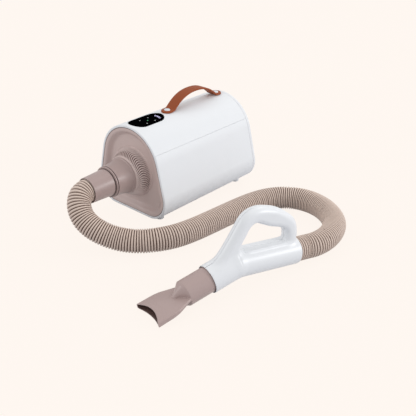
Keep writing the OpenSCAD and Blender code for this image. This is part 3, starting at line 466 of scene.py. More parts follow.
def material(name, color, roughness, grain=0.0, grain_scale=900, mottle=0.02, metallic=0.0, specular=0.5):
    """A moulded or metal surface: an even colour with slight mottling, and a fine grain in its relief."""
    made = bpy.data.materials.new(name)
    made.use_nodes = True
    links = made.node_tree.links
    shader = made.node_tree.nodes["Principled BSDF"]
    shader.inputs["Roughness"].default_value = roughness
    shader.inputs["Metallic"].default_value = metallic
    shader.inputs["Specular IOR Level"].default_value = specular
    place = new_node(made, "ShaderNodeTexCoord")
    cloud = new_node(made, "ShaderNodeTexNoise", {"Scale": MOTTLE_SCALE, "Detail": 3})
    ramp = new_node(made, "ShaderNodeValToRGB")
    for end, way in zip(ramp.color_ramp.elements, (-1, 1)):
        end.color = (*[min(1, c * (1 + way * mottle)) for c in color], 1)
    links.new(place.outputs["Object"], cloud.inputs["Vector"])
    links.new(cloud.outputs["Fac"], ramp.inputs["Fac"])
    links.new(ramp.outputs["Color"], shader.inputs["Base Color"])
    if grain:
        fine = new_node(made, "ShaderNodeTexNoise", {"Scale": grain_scale, "Detail": 2})
        bump = new_node(made, "ShaderNodeBump", {"Strength": grain, "Distance": GRAIN_RELIEF})
        links.new(place.outputs["Object"], fine.inputs["Vector"])
        links.new(fine.outputs["Fac"], bump.inputs["Height"])
        links.new(bump.outputs["Normal"], shader.inputs["Normal"])
    return made


def srgb(r, g, b):
    """The linear colour of a screen colour."""
    return tuple((c / 255 / 12.92) if c <= 10 else ((c / 255 + 0.055) / 1.055) ** 2.4 for c in (r, g, b))


def valley_shaded_material(name, crest_color, valley_shade_color, roughness):
    """Plastic with painted shade: pale on its crests, and darkened in its valleys, gaps and bores where shade
    falls.
    """
    made = material(name, crest_color, roughness, grain=0.1)
    links = made.node_tree.links
    shader = made.node_tree.nodes["Principled BSDF"]
    crest = shader.inputs["Base Color"].links[0].from_socket
    depth = new_node(made, "ShaderNodeAttribute", attribute_name="valley")
    mix = new_node(made, "ShaderNodeMix", data_type="RGBA")
    first, second = [s for s in mix.inputs if s.type == "RGBA"]
    mixed, = [s for s in mix.outputs if s.type == "RGBA"]
    second.default_value = (*valley_shade_color, 1)
    links.new(depth.outputs["Fac"], mix.inputs["Factor"])
    links.new(crest, first)
    links.new(mixed, shader.inputs["Base Color"])
    return made


def leather_material(name, color):
    """Leather: pores and wrinkles in relief, mottled colour."""
    made = material(name, color, 0.62, mottle=0.1, specular=0.2)
    links = made.node_tree.links
    place = new_node(made, "ShaderNodeTexCoord")
    pores = new_node(made, "ShaderNodeTexVoronoi", {"Scale": 650})
    wrinkle = new_node(made, "ShaderNodeTexNoise", {"Scale": 160, "Detail": 5})
    both = new_node(made, "ShaderNodeMath", {1: 0.5}, operation="MULTIPLY_ADD")
    bump = new_node(made, "ShaderNodeBump", {"Strength": 0.45, "Distance": LEATHER_RELIEF})
    for texture in (pores, wrinkle):
        links.new(place.outputs["Object"], texture.inputs["Vector"])
    links.new(pores.outputs["Distance"], both.inputs[0])
    links.new(wrinkle.outputs["Fac"], both.inputs[2])
    links.new(both.outputs["Value"], bump.inputs["Height"])
    links.new(bump.outputs["Normal"], made.node_tree.nodes["Principled BSDF"].inputs["Normal"])
    return made


def lit_material(name, color):
    """A mark that shines through the touch panel."""
    made = material(name, color, 0.3, mottle=0.0)
    shader = made.node_tree.nodes["Principled BSDF"]
    shader.inputs["Emission Color"].default_value = (*color, 1)
    shader.inputs["Emission Strength"].default_value = MARK_GLOW
    return made


WHITE = srgb(232, 234, 237)
PAINTS = {
    "casing_white": material("casing_white", WHITE, 0.5, grain=0.05, mottle=0.005, specular=0.35),
    "handset_white": material("handset_white", WHITE, 0.34, grain=0.04, mottle=0.005),
    "taupe_panel": material("taupe_panel", srgb(180, 160, 156), 0.34, grain=0.05, mottle=0.012),
    "dark_plastic": material("dark_plastic", srgb(38, 37, 38), 0.45, grain=0.15),
    "grey_plastic": material("grey_plastic", srgb(92, 88, 88), 0.5, grain=0.12),
    "panel_glass": material("panel_glass", srgb(3, 3, 4), 0.35, mottle=0.0, specular=0.0),
    "rivet_steel": material("rivet_steel", srgb(226, 229, 233), 0.32, grain=0.1, metallic=0.55),
    "board_green": material("board_green", srgb(46, 104, 66), 0.5, grain=0.1),
    "part_mix": material("part_mix", srgb(120, 96, 60), 0.45, grain=0.1),
    "filter_foam": material("filter_foam", srgb(48, 48, 50), 0.95, grain=1.0, grain_scale=500, mottle=0.2),
    "rubber_black": material("rubber_black", srgb(34, 34, 35), 0.75, grain=0.2),
    "pin_brass": material("pin_brass", srgb(214, 190, 130), 0.3, metallic=1.0, grain=0.05),
    "motor_alloy": material("motor_alloy", srgb(205, 207, 210), 0.35, metallic=0.9, grain=0.2),
    "stator_copper": material("stator_copper", srgb(196, 120, 76), 0.4, metallic=0.9, grain=0.2),
    "shaft_steel": material("shaft_steel", srgb(190, 193, 197), 0.25, metallic=1.0, grain=0.08),
    "duct_nylon": material("duct_nylon", srgb(214, 214, 208), 0.55, grain=0.1),
    "mica_tan": material("mica_tan", srgb(176, 150, 112), 0.6, grain=0.3, mottle=0.15),
    "heater_wire": material("heater_wire", srgb(150, 142, 136), 0.4, metallic=0.9),
    # The second colour of each of these five is painted shade, for their valleys, gaps, bores and inner
    # skins.
    "hose_plastic": valley_shaded_material("hose_plastic", srgb(217, 197, 184), srgb(84, 52, 40), 0.5),
    # taupe_fins and taupe_dish are lighter copies of the one taupe plastic, painted light; taupe_tube and
    # taupe_nozzle are darker copies, painted shade.
    "taupe_fins": valley_shaded_material("taupe_fins", srgb(210, 191, 186), srgb(112, 87, 83), 0.4),
    "taupe_dish": valley_shaded_material("taupe_dish", srgb(200, 180, 175), srgb(84, 60, 58), 0.36),
    "taupe_tube": valley_shaded_material("taupe_tube", srgb(172, 151, 147), srgb(52, 34, 32), 0.36),
    "taupe_nozzle": valley_shaded_material("taupe_nozzle", srgb(176, 155, 151), srgb(90, 68, 64), 0.36),
    "leather_tan": leather_material("leather_tan", srgb(150, 77, 44)),
    "display_lilac": lit_material("display_lilac", srgb(206, 200, 238)),
    "mark_grey": lit_material("mark_grey", srgb(150, 150, 150)),
    "mark_green": lit_material("mark_green", srgb(40, 150, 90)),
}

hose.data.materials.append(PAINTS["hose_plastic"])
node_slot = {s["node"]: s["material_slot"] for s in frame["record"]["subparts"]}
for node_name, node in frame["nodes"].items():
    for slot in node.material_slots:
        slot.material = PAINTS[node_slot[node_name]]


def add(piece, paint_name, body, *nodes, slot=None):
    """Finishes a piece: its material, the body it moves with and the CAD nodes it stands for. The slot
    argument is not used.
    """
    piece.data.materials.clear()
    piece.data.materials.append(PAINTS[paint_name])
    if nodes:
        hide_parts(*nodes)
    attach(piece, body)


# ---------- casing ----------
TOP_CZ, CORNER_Z = BODY_H - TOP_R, FOOT_H + CORNER_R
# Where the arc over the top meets a corner's arc
TANGENT = math.atan2(CORNER_Z - TOP_CZ, CORNER_X) + math.acos(
    (TOP_R - CORNER_R) / math.hypot(CORNER_X, CORNER_Z - TOP_CZ))
SPLIT_GAP, CAP_SEAM, RIM_DEPTH = 0.44, 0.25, 12
FOOT_AT = [(x, y) for x in (-56, 56) for y in (-114, 113)]
FOOT_PROFILE = [(0.01, 16), (9, 16), (7.6, 0.7, 1), (0.01, 0.7)]


def outline(inset):
    """The casing's rounded triangular section, as [x, z] points."""
    def arc(x, z, r, a0, a1, n):
        return [(x + r * math.cos(a), z + r * math.sin(a)) for a in np.linspace(a0, a1, n)]
    return (arc(0, TOP_CZ, TOP_R - inset, math.pi - TANGENT, TANGENT, 80)
            + arc(CORNER_X, CORNER_Z, CORNER_R - inset, TANGENT, -math.pi / 2, 44)
            + arc(-CORNER_X, CORNER_Z, CORNER_R - inset, -math.pi / 2, -math.pi - TANGENT, 44))


def ring_at(inset, y):
    return [(x, y, z) for x, z in outline(inset)]


def casing_shell():
    profile = rounded([(0, CAP_Y - CAP_SEAM, 0.4), (0, FRONT, 2.6), (RIM_W, FRONT, 1.0),
                       (RIM_W, FRONT + RIM_DEPTH, 0.5), (WALL, FRONT + RIM_DEPTH, 0.3),
                       (WALL, CAP_Y - CAP_SEAM, 0.2)], steps=7)
    return loft([ring_at(inset, y) for inset, y in profile])


for name, side, node_name in (("casing_upper", 1, "upper_housing"), ("casing_lower", -1, "lower_housing")):
    half = mesh_piece(name, *casing_shell())
    keep_side(half, (0, 0, SPLIT_Z + side * SPLIT_GAP / 2), (0, 0, side))
    add(half, "casing_white", "machine", node_name)

foot_line = rounded(FOOT_PROFILE, closed=False)
feet = [turned_upright(x, y, 0, foot_line, n=40, caps=False) for x, y in FOOT_AT]
add(mesh_piece("casing_feet", *join_parts(*feet)), "casing_white", "machine", "feet")

# ---------- front dish ----------
DISH_GAP, DISH_LIP, DISH_T = 0.2, 0.6, 2.4
BAND_END, FALL_L = 0.24, 0.62  # parts of the slope: the border's band, then the fall to the floor
BAND_FALL = 0.06


def circle_at(r, y, shape):
    """A circle about the outlet axis whose points lie at the same angles as another ring's."""
    return [round_axis(r, y, math.atan2(x, z - AXIS_Z)) for x, _, z in shape]


def between(ring_a, ring_b, t, y):
    return [((1 - t) * a[0] + t * b[0], y, (1 - t) * a[2] + t * b[2]) for a, b in zip(ring_a, ring_b)]


def dish_rows(drop):
    """Front skin of the dish from its border to the vent, moved back by drop."""
    rows = []
    for t in (0, 0.03, *np.linspace(0.06, 1, 26)):
        down = clamp((t - BAND_END) / FALL_L)
        fall = BAND_FALL * t + (1 - BAND_FALL) * down * down * (3 - 2 * down)
        y = FRONT + DISH_LIP + (DISH_DEPTH - DISH_LIP) * fall + drop
        rows.append(ring_at(RIM_W + DISH_GAP + DISH_SLOPE * t, y))
    flat = rows[-1]
    seat = circle_at(VENT_R + 1, 0, flat)
    return rows + [between(flat, seat, t, DISH_FLOOR + drop) for t in (0.02, 0.3, 0.65, 1)]


dish = mesh_piece("front_dish", *loft(dish_rows(0) + dish_rows(DISH_T)[::-1]))
border = 2 * len(outline(RIM_W))  # the first two rings carry painted shade, the shadow in the dark gap at the rim
store_valleys(dish, [k < border for k in range(len(dish.data.vertices))])
add(dish, "taupe_dish", "machine", "front_panel", slot="taupe_panel")

# ---------- vent ring with swirl fins ----------
FINS, FIN_DEPTH, FIN_SWIRL, FIN_LEAN, FIN_POWER = 60, 2.2, 0.24, 0.1, 1.6
FINLESS, FIN_FADE = math.radians(48), math.radians(26)  # no fins this near the bottom, then they rise
POINTS_PER_FIN, FACE_POINTS = 10, 34
DOME_ROUND, DOME_REACH = 1.35, 0.9  # powers that shape the dome
DOME_OUT, DOME_IN = VENT_R - 0.2, TUBE_R + 3.2
DOME_BACK = DISH_FLOOR - 0.6
DOME_L = VENT_OUT + DISH_DEPTH - 0.6


def vent_point(a, t):
    """Radius, y and fin depth of the ring's face at angle a, from its outer edge (0) to the tube (1)."""
    r = DOME_IN + (DOME_OUT - DOME_IN) * (1 - t ** DOME_ROUND)
    y = DOME_BACK - DOME_L * t ** DOME_REACH
    turn = (a + FIN_SWIRL * math.sin(math.pi * t) + FIN_LEAN * t) * FINS / FULL_TURN
    ridge = 0.5 - 0.5 * math.cos(FULL_TURN * (turn % 1))
    reach = clamp((t - 0.03) / 0.1) * clamp((0.97 - t) / 0.08)
    from_bottom = abs(math.pi - a % FULL_TURN)
    sink = FIN_DEPTH * (1 - ridge) ** FIN_POWER * reach * clamp((from_bottom - FINLESS) / FIN_FADE)
    slope = math.radians(85 - 50 * t)
    return r - sink * math.sin(slope), y + sink * math.cos(slope), sink / FIN_DEPTH


def vent_mesh():
    back = [(TUBE_R + 0.1, DISH_FLOOR + 4), (VENT_R + 5, DISH_FLOOR + 4), (VENT_R + 5, DISH_FLOOR + 2.6),
            (VENT_R + 0.9, DISH_FLOOR + 2.6), (VENT_R + 0.9, DISH_FLOOR + 0.3)]
    bead = rounded([(TUBE_R + 3.0, VENT_FACE + 0.5), (TUBE_R + 2.6, VENT_FACE - 1.4, 0.8),
                    (TUBE_R + 0.1, VENT_FACE - 1.4, 0.6), (TUBE_R + 0.1, FRONT)], closed=False)
    rows = []
    around = FINS * POINTS_PER_FIN
    for k in range(around):
        a = FULL_TURN * k / around
        face = [vent_point(a, t)[:2] for t in np.linspace(0, 1, FACE_POINTS)]
        rows.append([round_axis(r, y, a) for r, y in [*back, *face, *bead]])
    return loft(rows)


def fin_depth_at(p):
    if not DOME_IN - 0.8 < off_axis(p) < VENT_R + 0.1:
        return 0
    t = clamp((DOME_BACK - p.y) / DOME_L) ** (1 / DOME_REACH)
    return vent_point(math.atan2(p.x, p.z - AXIS_Z) % FULL_TURN, t)[2]


vent = mesh_piece("vent_fins", *vent_mesh(), sharp=50)
# painted shade in the grooves between the fins, as deep as each groove sinks
shade_valleys(vent, fin_depth_at)
add(vent, "taupe_fins", "machine", "vent_ring")

# ---------- outlet tube and the hose's cuff ----------
TUBE_OUT_R, TUBE_IN_R, TUBE_BACK = TUBE_R - 0.1, TUBE_R - 2.3, FRONT + 14
TUBE_PROFILE = [
    (MOUTH_R, TUBE_END, 0.6), (COLLAR_R, TUBE_END, 1.2), (COLLAR_R + 0.2, TUBE_END + 3.6, 1.0),
    (COLLAR_R - 0.9, TUBE_END + 4.6, 1.2), (COLLAR_R + 0.6, TUBE_END + 18, 30),
    (TUBE_R - 0.3, VENT_FACE - 4.6, 1.4), (TUBE_R + 1.6, VENT_FACE - 3.8, 1.4),
    (TUBE_R + 1.6, VENT_FACE - 1.7, 1.0), (TUBE_OUT_R, VENT_FACE - 1.5, 0.4), (TUBE_OUT_R, TUBE_BACK, 0.5),
    (TUBE_IN_R, TUBE_BACK, 0.5), (TUBE_IN_R, VENT_FACE, 8), (MOUTH_R, TUBE_END + 22, 8)]
CUFF_BORE, SPIGOT_IN, SPIGOT_OUT, FLANGE_R = HOSE_R + 1, MOUTH_R - 2.2, MOUTH_R - 0.1, COLLAR_R - 0.5
CUFF_PROFILE = [
    (SPIGOT_IN, TUBE_END + 20, 0.4), (SPIGOT_IN, TUBE_END - 6, 0.4), (CUFF_BORE, TUBE_END - 6.1, 0.3),
    (CUFF_BORE, CUFF_END, 0.4), (CUFF_BORE + 1.7, CUFF_END, 0.7), (MOUTH_R - 0.8, TUBE_END - 6.6, 1.6),
    (MOUTH_R - 0.6, TUBE_END - 4.2, 0.8), (FLANGE_R, TUBE_END - 3.8, 1.1), (FLANGE_R, TUBE_END - 0.9, 0.9),
    (SPIGOT_OUT, TUBE_END - 0.9, 0.5), (SPIGOT_OUT, TUBE_END + 20, 0.4)]


def tube_depth_at(p):
    """Painted shade: the tube is dark on its end face, behind the cuff's flange."""
    return p.y < TUBE_END + 0.25 and off_axis(p) < COLLAR_R - 0.6


def cuff_depth_at(p):
    """Painted shade: the cuff is dark in its bore, behind its flange and where its groove runs into the
    flange.
    """
    r = off_axis(p)
    if p.y < TUBE_END - 6:
        return r < CUFF_BORE + 0.6
    return 1 if r < MOUTH_R or p.y > TUBE_END - 1 and r < COLLAR_R - 1 else 0.35 * (r < MOUTH_R + 0.8)


for name, profile, depth_at, body, node_name in (
        ("outlet_pipe", TUBE_PROFILE, tube_depth_at, "machine", "outlet_tube"),
        ("cuff_shell", CUFF_PROFILE, cuff_depth_at, "cuff", "hose_cuff")):
    pipe = mesh_piece(name, *turned(rounded(profile)))
    shade_valleys(pipe, depth_at)
    add(pipe, "taupe_tube", body, node_name, slot="taupe_panel")

# ---------- rear cap ----------
CAP_EDGE_W, CAP_T, CAP_LIP, INTAKE_R = 12, 3, WALL + 2.4, 49
CAP_FRONT = CAP_Y + 0.3
CAP_SCREWS = [(-52, 40), (52, 40), (-46, 150), (46, 150)]
SCREW_WELL_R, SCREW_WELL_L = 3.6, 6
INLET_HALF_W, INLET_LOW, INLET_HIGH = 15.6, 14.4, 37.6


def rear_cap():
    edge = rounded([(WALL, CAP_FRONT), (0, CAP_FRONT, 0.4), (0, REAR, 2.6), (CAP_EDGE_W, REAR)], steps=7,
                   closed=False)
    rows = [ring_at(inset, y) for inset, y in edge]
    hole = circle_at(INTAKE_R, 0, rows[-1])
    rows += [between(rows[-1], hole, t, REAR) for t in (0.5, 1)]
    rows.append([(x, REAR - CAP_T, z) for x, _, z in rows[-1]])
    return loft(rows + [ring_at(CAP_EDGE_W, REAR - CAP_T), ring_at(CAP_LIP, REAR - CAP_T),
                        ring_at(CAP_LIP, CAP_FRONT)])


cap = mesh_piece("rear_shell", *rear_cap())
cut_with(cap, *[cylinder_at(x, REAR - 2.8, z, SCREW_WELL_R, SCREW_WELL_L) for x, z in CAP_SCREWS],
         box_at((-INLET_HALF_W, REAR - 8, INLET_LOW), (INLET_HALF_W, REAR + 4, INLET_HIGH)))
add(cap, "casing_white", "machine", "rear_cap")

# ---------- touch panel ----------
GLASS_H, MARK_H, MARK_BASE = 0.8, 0.93, 0.7  # heights over the casing's top
TOUCH_DOTS = [(-3, -81), (-3, -102), (15, -79), (15, -100)]


def on_glass(x, y, lift=MARK_H):
    """A point over the casing's round top."""
    return x, y, TOP_CZ + math.sqrt((TOP_R + lift) ** 2 - x * x)


def pill_ring(inset, height, n=48):
    """A ring of the pill's outline, bent over the casing's top."""
    r = PANEL_W / 2
    out = []
    for sign, start in ((1, 0), (-1, math.pi)):
        middle = sign * (PANEL_L / 2 - r)
        out += [((r - inset) * math.cos(a), middle + (r - inset) * math.sin(a))
                for a in np.linspace(start, start + math.pi, n)]
    return [on_glass(x, PANEL_Y + y, height) for x, y in out]


pill_rows = [pill_ring(*edge) for edge in ((0.15, -0.6), (0.15, 0.35), (0.4, 0.65), (0.9, 0.78))]
pill_rows += [pill_ring(inset, GLASS_H) for inset in np.linspace(2, 21.9, 10)]
glass = mesh_piece("touch_glass", *loft(pill_rows, closed=False, caps=True), sharp=50)
add(glass, "panel_glass", "machine", "touch_panel")


def thin_plate(flat):
    """A mark on the glass from its outline."""
    return loft([[on_glass(*p, lift=h) for p in flat] for h in (MARK_BASE, MARK_H)], closed=False, caps=True)


def bar(x0, y0, x1, y1, width=0.9):
    """A straight mark with pointed ends."""
    d = np.array([x1 - x0, y1 - y0], float)
    d /= np.linalg.norm(d)
    side, point = np.array([-d[1], d[0]]) * width / 2, d * width * 0.4
    a, b = np.array([x0, y0]), np.array([x1, y1])
    return thin_plate([a - side, a - point, a + side, b + side, b + point, b - side])


def digit(x, y, lit, tall=6, wide=3.4):
    """A seven-bar figure, upright for a reader on the machine's right."""
    top, low, right = x + tall / 2, x - tall / 2, y + wide
    bars = {"a": (top, y, top, right), "g": (x, y, x, right), "d": (low, y, low, right), "f": (top, y, x, y),
            "b": (top, right, x, right), "e": (x, y, low, y), "c": (x, right, low, right)}
    return [bar(*bars[k]) for k in lit]


def dot(x, y, r):
    return thin_plate(circle(x, y, r, 20))


for name, paint_name, parts in (
        ("panel_digits", "display_lilac", digit(2.5, -65.5, "abged") + digit(10.5, -65.5, "afgcd")),
        ("panel_dots", "mark_grey", [dot(x, y, 1.1) for x, y in TOUCH_DOTS]),
        ("panel_light", "mark_green", [dot(7, -91, 1.2)])):
    add(mesh_piece(name, *join_parts(*parts)), paint_name, "machine", slot="panel_glass")

# ---------- strap and its rivets ----------
STRAP_ENDS = (STRAP_Y - STRAP_SPAN / 2, STRAP_Y + STRAP_SPAN / 2)
STRAP_BASE, STRAP_FLAT = BODY_H + 0.2, 9
TIP_POINTS, ARCH_POINTS, EVEN_ROUNDS = 14, 60, 3
ARCH_POWER, ARCH_FLATTEN = 2.3, 0.06
RIVET_PROFILE = [(0.05, -0.2), (6.3, -0.2), (6.3, 0.9, 0.8), (3.4, 2.1, 4), (0.05, 2.3)]


def strap_height(t):
    u = 1 - abs(2 * t - 1) ** ARCH_POWER
    return STRAP_RISE * u * (1 - ARCH_FLATTEN * u)


def strap_line():
    """The strap's middle line from tip to tip as y, z and the width there."""
    y0, y1 = STRAP_ENDS
    tip = [(STRAP_W / 2 * math.cos(a), STRAP_W * math.sin(a))
           for a in np.linspace(0.02, math.pi / 2, TIP_POINTS)]
    arch = [(y0 + STRAP_FLAT + (STRAP_SPAN - 2 * STRAP_FLAT) * t, STRAP_BASE + strap_height(t), STRAP_W)
            for t in np.linspace(0.01, 0.99, ARCH_POINTS)]
    line = np.array([(y0 - out, STRAP_BASE, w) for out, w in tip]
                    + [(y0 + STRAP_FLAT - 4, STRAP_BASE, STRAP_W)] + arch
                    + [(y1 - STRAP_FLAT + 4, STRAP_BASE, STRAP_W)]
                    + [(y1 + out, STRAP_BASE, w) for out, w in tip[::-1]])
    end = TIP_POINTS + 1
    for _ in range(EVEN_ROUNDS):
        line[end:-end, 1] = (0.25 * line[end - 1:-end - 1, 1] + 0.5 * line[end:-end, 1]
                             + 0.25 * line[end + 1:1 - end, 1])
    return line


def strap_mesh():
    """A flat section with rounded edges along the line, which narrows round each tip."""
    line = strap_line()
    rows = []
    for (y, z, w), (ty, tz) in zip(line, unit_ways(line[:, :2])):
        section = rounded([(-w / 2, 0, 0.5), (w / 2, 0, 0.5), (w / 2, STRAP_T, 1.2), (0, STRAP_T + 0.1, 0),
                           (-w / 2, STRAP_T, 1.2)], steps=4)
        rows.append([(x, y - tz * h, z + ty * h) for x, h in section])
    return loft(rows, closed=False, caps=True)


strap = mesh_piece("strap_leather", *strap_mesh(), sharp=60)
add(strap, "leather_tan", "machine", "strap")
rivet_line = rounded(RIVET_PROFILE, closed=False)
rivets = [turned_upright(0, y, STRAP_BASE + STRAP_T, rivet_line) for y in STRAP_ENDS]
add(mesh_piece("rivet_caps", *join_parts(*rivets)), "rivet_steel", "machine")

# ---------- handset ----------
# Outlines in the plane of the grip: distance behind the bend, and height over a level GRIP_BASE below it
GRIP_EDGE = [(-47, 46), (-40, 58.5), (-24, 76.5), (-11.8, 92.6), (-0.9, 108), (10.5, 123.5), (24.5, 133),
             (42.8, 136), (63.3, 131.4), (84.7, 122.7), (105.6, 108.5), (122.6, 91.7), (129, 71), (128.2, 52),
             (122, 38), (90, 32), (30, 36), (-20, 34)]
GRIP_HOLE = [(9.5, 70), (11, 79), (19.5, 92), (27.5, 103.5), (38, 108), (50.7, 102), (69.3, 92.3),
             (90, 84), (100.5, 76), (104, 65), (101.5, 55), (91, 53.6), (60, 57.8), (28, 61.5), (14, 63.5)]
SADDLE = [(12, 64.6), (30, 62.6), (60, 58.9), (90, 55), (110, 52.4)]  # the barrel's flat top under the grip
GRIP_SCREWS = [(4, 93), (58, 118), (113, 84)]
GRIP_HALF_W, GRIP_ROUND = 12.7, 11.5
MOUTH_STEP, MOUTH_DEPTH = 1.5, 24
PAST = 200  # a length past every end, for what is cut away
FINGER_RIBS, RIB_H, RIB_PITCH = ((-112, -98), (60, 86), 9), 0.25, 6.2
SEAM, WELL_R, WELL_FLOOR = 0.12, 3.2, 5.6


def tilted(x, z, tilt, way):
    """Distances along and across a barrel axis that falls away from the bend."""
    along = way * x * math.cos(tilt) - z * math.sin(tilt)
    across = way * x * math.sin(tilt) + z * math.cos(tilt)
    return along, across


def capped(along, across, y, r, length, back):
    """Field of a cylinder along an axis, with flat ends."""
    return np.maximum(np.hypot(across, y) - r, np.maximum(along - length, -along - back))


def grip_field(y, edge, hole):
    """The hooped grip: a flat form with full round edges."""
    within = np.broadcast_to(smooth_max(edge, -hole, 1) + GRIP_ROUND, y.shape)
    across = np.abs(y) - GRIP_HALF_W + GRIP_ROUND
    return (np.hypot(np.maximum(within, 0), np.maximum(across, 0)) + np.minimum(np.maximum(within, across), 0)
            - GRIP_ROUND)


def saddle_field(x, y, z, gx, gz):
    """The level shelf that fills the barrel's top under the finger opening, with a round front corner."""
    top = np.interp(-gx, *np.array(SADDLE).T) - GRIP_BASE
    shelf = np.maximum(gz - top, np.maximum(SADDLE[0][0] + gx, -gx - SADDLE[-1][0]))[:, None, :]
    shelf = np.maximum(np.maximum(shelf, top[:, None, :] - 12 - z), 4 - z - GRIP_BASE)
    corner = np.hypot(np.maximum(SADDLE[0][0] + 12 + x, 0), y) - 12.6
    return smooth_max(np.broadcast_to(shelf, y.shape), corner, 1.6)


def handset_field(x, y, z):
    """Field of the whole handset about its bend: X forward, Y towards the near side, Z up."""
    fa, fc = tilted(x, z, FRONT_TILT, 1)
    ra, rc = tilted(x, z, REAR_TILT, -1)
    front = np.maximum(np.hypot(fc, y) - BARREL_R - 0.5, -fa)
    rear = np.maximum(np.hypot(rc, y) - BARREL_R, -ra)
    elbow = np.sqrt(x * x + y * y + z * z) - BARREL_R - 0.3
    body = smooth_min(np.minimum(front, rear), elbow, 3)
    body = smooth_max(smooth_max(body, fa - FRONT_L, 1.2), ra - REAR_L, 1.2)
    gx, gz = x[:, 0, :], z[:, 0, :]
    edge, hole = (distance_to_loop(-gx, gz + GRIP_BASE, smooth_loop(line))[:, None, :]
                  for line in (GRIP_EDGE, GRIP_HOLE))
    body = smooth_min(body, grip_field(y, edge, hole), 6)
    body = np.maximum(np.maximum(body, fa - FRONT_L), ra - REAR_L)
    body = smooth_max(body, -np.broadcast_to(hole, y.shape), 2.5)
    body = smooth_min(body, saddle_field(x, y, z, gx, gz), 3)
    bore = smooth_min(capped(fa, fc, y, BORE_R + 0.4, PAST, 4), capped(ra, rc, y, BORE_R, PAST, 4), 4)
    mouth = capped(fa, fc, y, BORE_R + MOUTH_STEP, PAST, MOUTH_DEPTH - FRONT_L)
    body = np.maximum(body, -np.minimum(bore, mouth))
    (x0, x1), (h0, h1), half_w = FINGER_RIBS
    height = z + GRIP_BASE
    on_ribs = (x > x0) & (x < x1) & (height > h0) & (height < h1) & (np.abs(y) < half_w)
    return np.where(on_ribs, body + RIB_H * np.cos(height * FULL_TURN / RIB_PITCH), body)


def to_world(local):
    """From the handset's own axes, about its bend, to the frame's."""
    c, s = math.cos(HANDSET_TURN), math.sin(HANDSET_TURN)
    x, y, z = local.T
    return np.stack([BEND_AT[0] + c * x - s * y, BEND_AT[1] + s * x + c * y, BEND_AT[2] + z], axis=1)


def make_handset():
    step = 0.8
    low, high = (-134, -28, -46), (62, 28.4, 100)
    x, y, z = local_grid(low, high, step)
    field = handset_field(x, y, z)
    for name, way, node_name in (("handset_near", 1, "handset_right"), ("handset_far", -1, "handset_left")):
        half = np.maximum(field, SEAM - way * y)
        if way < 0:  # the screws go in from the far side
            for s, h in GRIP_SCREWS:
                well = np.maximum(np.hypot(x + s, z + GRIP_BASE - h) - WELL_R, y + WELL_FLOOR)
                half = np.maximum(half, -well)
        points, faces = skin_field(half, low, step)
        piece = mesh_piece(name, to_world(points), faces, sharp=62)
        add(piece, "handset_white", "handset", node_name, slot="casing_white")


make_handset()

# ---------- nozzle ----------
NOZZLE_ROLL = math.radians(3)
NOSE_FROM, NOSE_TO, NOSE_HALF_W = 46.5, 69.5, 4.4
# Stations from the handset's mouth, and sizes there
NOSE_TALL = ([20, 46.5, 50.5, 66, 70], [NOZZLE_R - 0.5, NOZZLE_R - 0.5, 20.6, 8.5, 5.5])
BLADE_HALF_W = ([45, 49, 61, 75, 85, 118], [22.4, 23.2, 28, 33.2, MOUTH_W, MOUTH_W])
BLADE_THICK = ([46, 62, 92, 118], [0.4, 0.52, 0.95, 1.04])
THINNING_TOP, THINNING_LOW = 0.5, 0.2  # how much thinner the blade is at its edges
LIP_HOLLOW = ([-5, 5], [6, 10.5])  # how far the mouth's edge is hollowed, from the lower to the upper lip
RIM_BACK, SPIGOT_L = 3.6, 19.5


def across_mouth(y):
    """From 0 in the middle of the mouth to 1 at its ends, squared."""
    return np.clip(np.abs(y) / MOUTH_W, 0, 1) ** 2


def nozzle_solid(f, y, z, inset):
    """Field of the nozzle's form: a round tube that narrows to an upright nose over a flat blade."""
    t = np.clip((f - NOSE_FROM) / 22, 0, 1)
    wide = NOSE_HALF_W + (NOZZLE_R - NOSE_HALF_W - 0.5) * (1 - t) ** 1.9 - inset * (1 - 0.4 * t)
    tall = np.interp(f, *NOSE_TALL) - inset
    wide = np.minimum(wide, tall)
    nose = np.hypot(y, np.maximum(np.abs(z) - (tall - wide), 0)) - wide
    nose = np.maximum(smooth_max(nose, f - NOSE_TO + inset, 3), -f - RIM_BACK)
    half = np.interp(f, *BLADE_HALF_W) - inset
    thinning = np.where(z > 0, THINNING_TOP, THINNING_LOW) * across_mouth(y)
    thick = (MOUTH_H / 2) * np.interp(f, *BLADE_THICK) * (1 - thinning) - inset
    blade = smooth_max(np.abs(z) - thick, smooth_max(np.abs(y) - half, 45.5 + inset - f, 4), 2)
    return smooth_min(nose, blade, 0.9)


def nozzle_inside(f, y, z):
    return np.where(f < 3, np.hypot(y, z) - (SPIGOT_R - NOZZLE_WALL), nozzle_solid(f, y, z, NOZZLE_WALL))


def nozzle_field(f, y, z):
    hollow = np.interp(z, *LIP_HOLLOW) * (1 - across_mouth(y))
    outer = smooth_max(nozzle_solid(f, y, z, 0), f - NOZZLE_L + hollow, 0.8)
    spigot = np.maximum(np.hypot(y, z) - SPIGOT_R, np.maximum(-f - SPIGOT_L, f - 1))
    return np.maximum(np.minimum(outer, spigot), -nozzle_inside(f, y, z))


def nozzle_to_world(points):
    """From the handset's mouth, along the front of the barrel."""
    f, y, z = points.T
    c, s = math.cos(NOZZLE_ROLL), math.sin(NOZZLE_ROLL)
    y, z = y * c - z * s, y * s + z * c
    along = FRONT_L + f
    return to_world(np.stack([along * math.cos(FRONT_TILT) + z * math.sin(FRONT_TILT), y,
                              -along * math.sin(FRONT_TILT) + z * math.cos(FRONT_TILT)], axis=1))


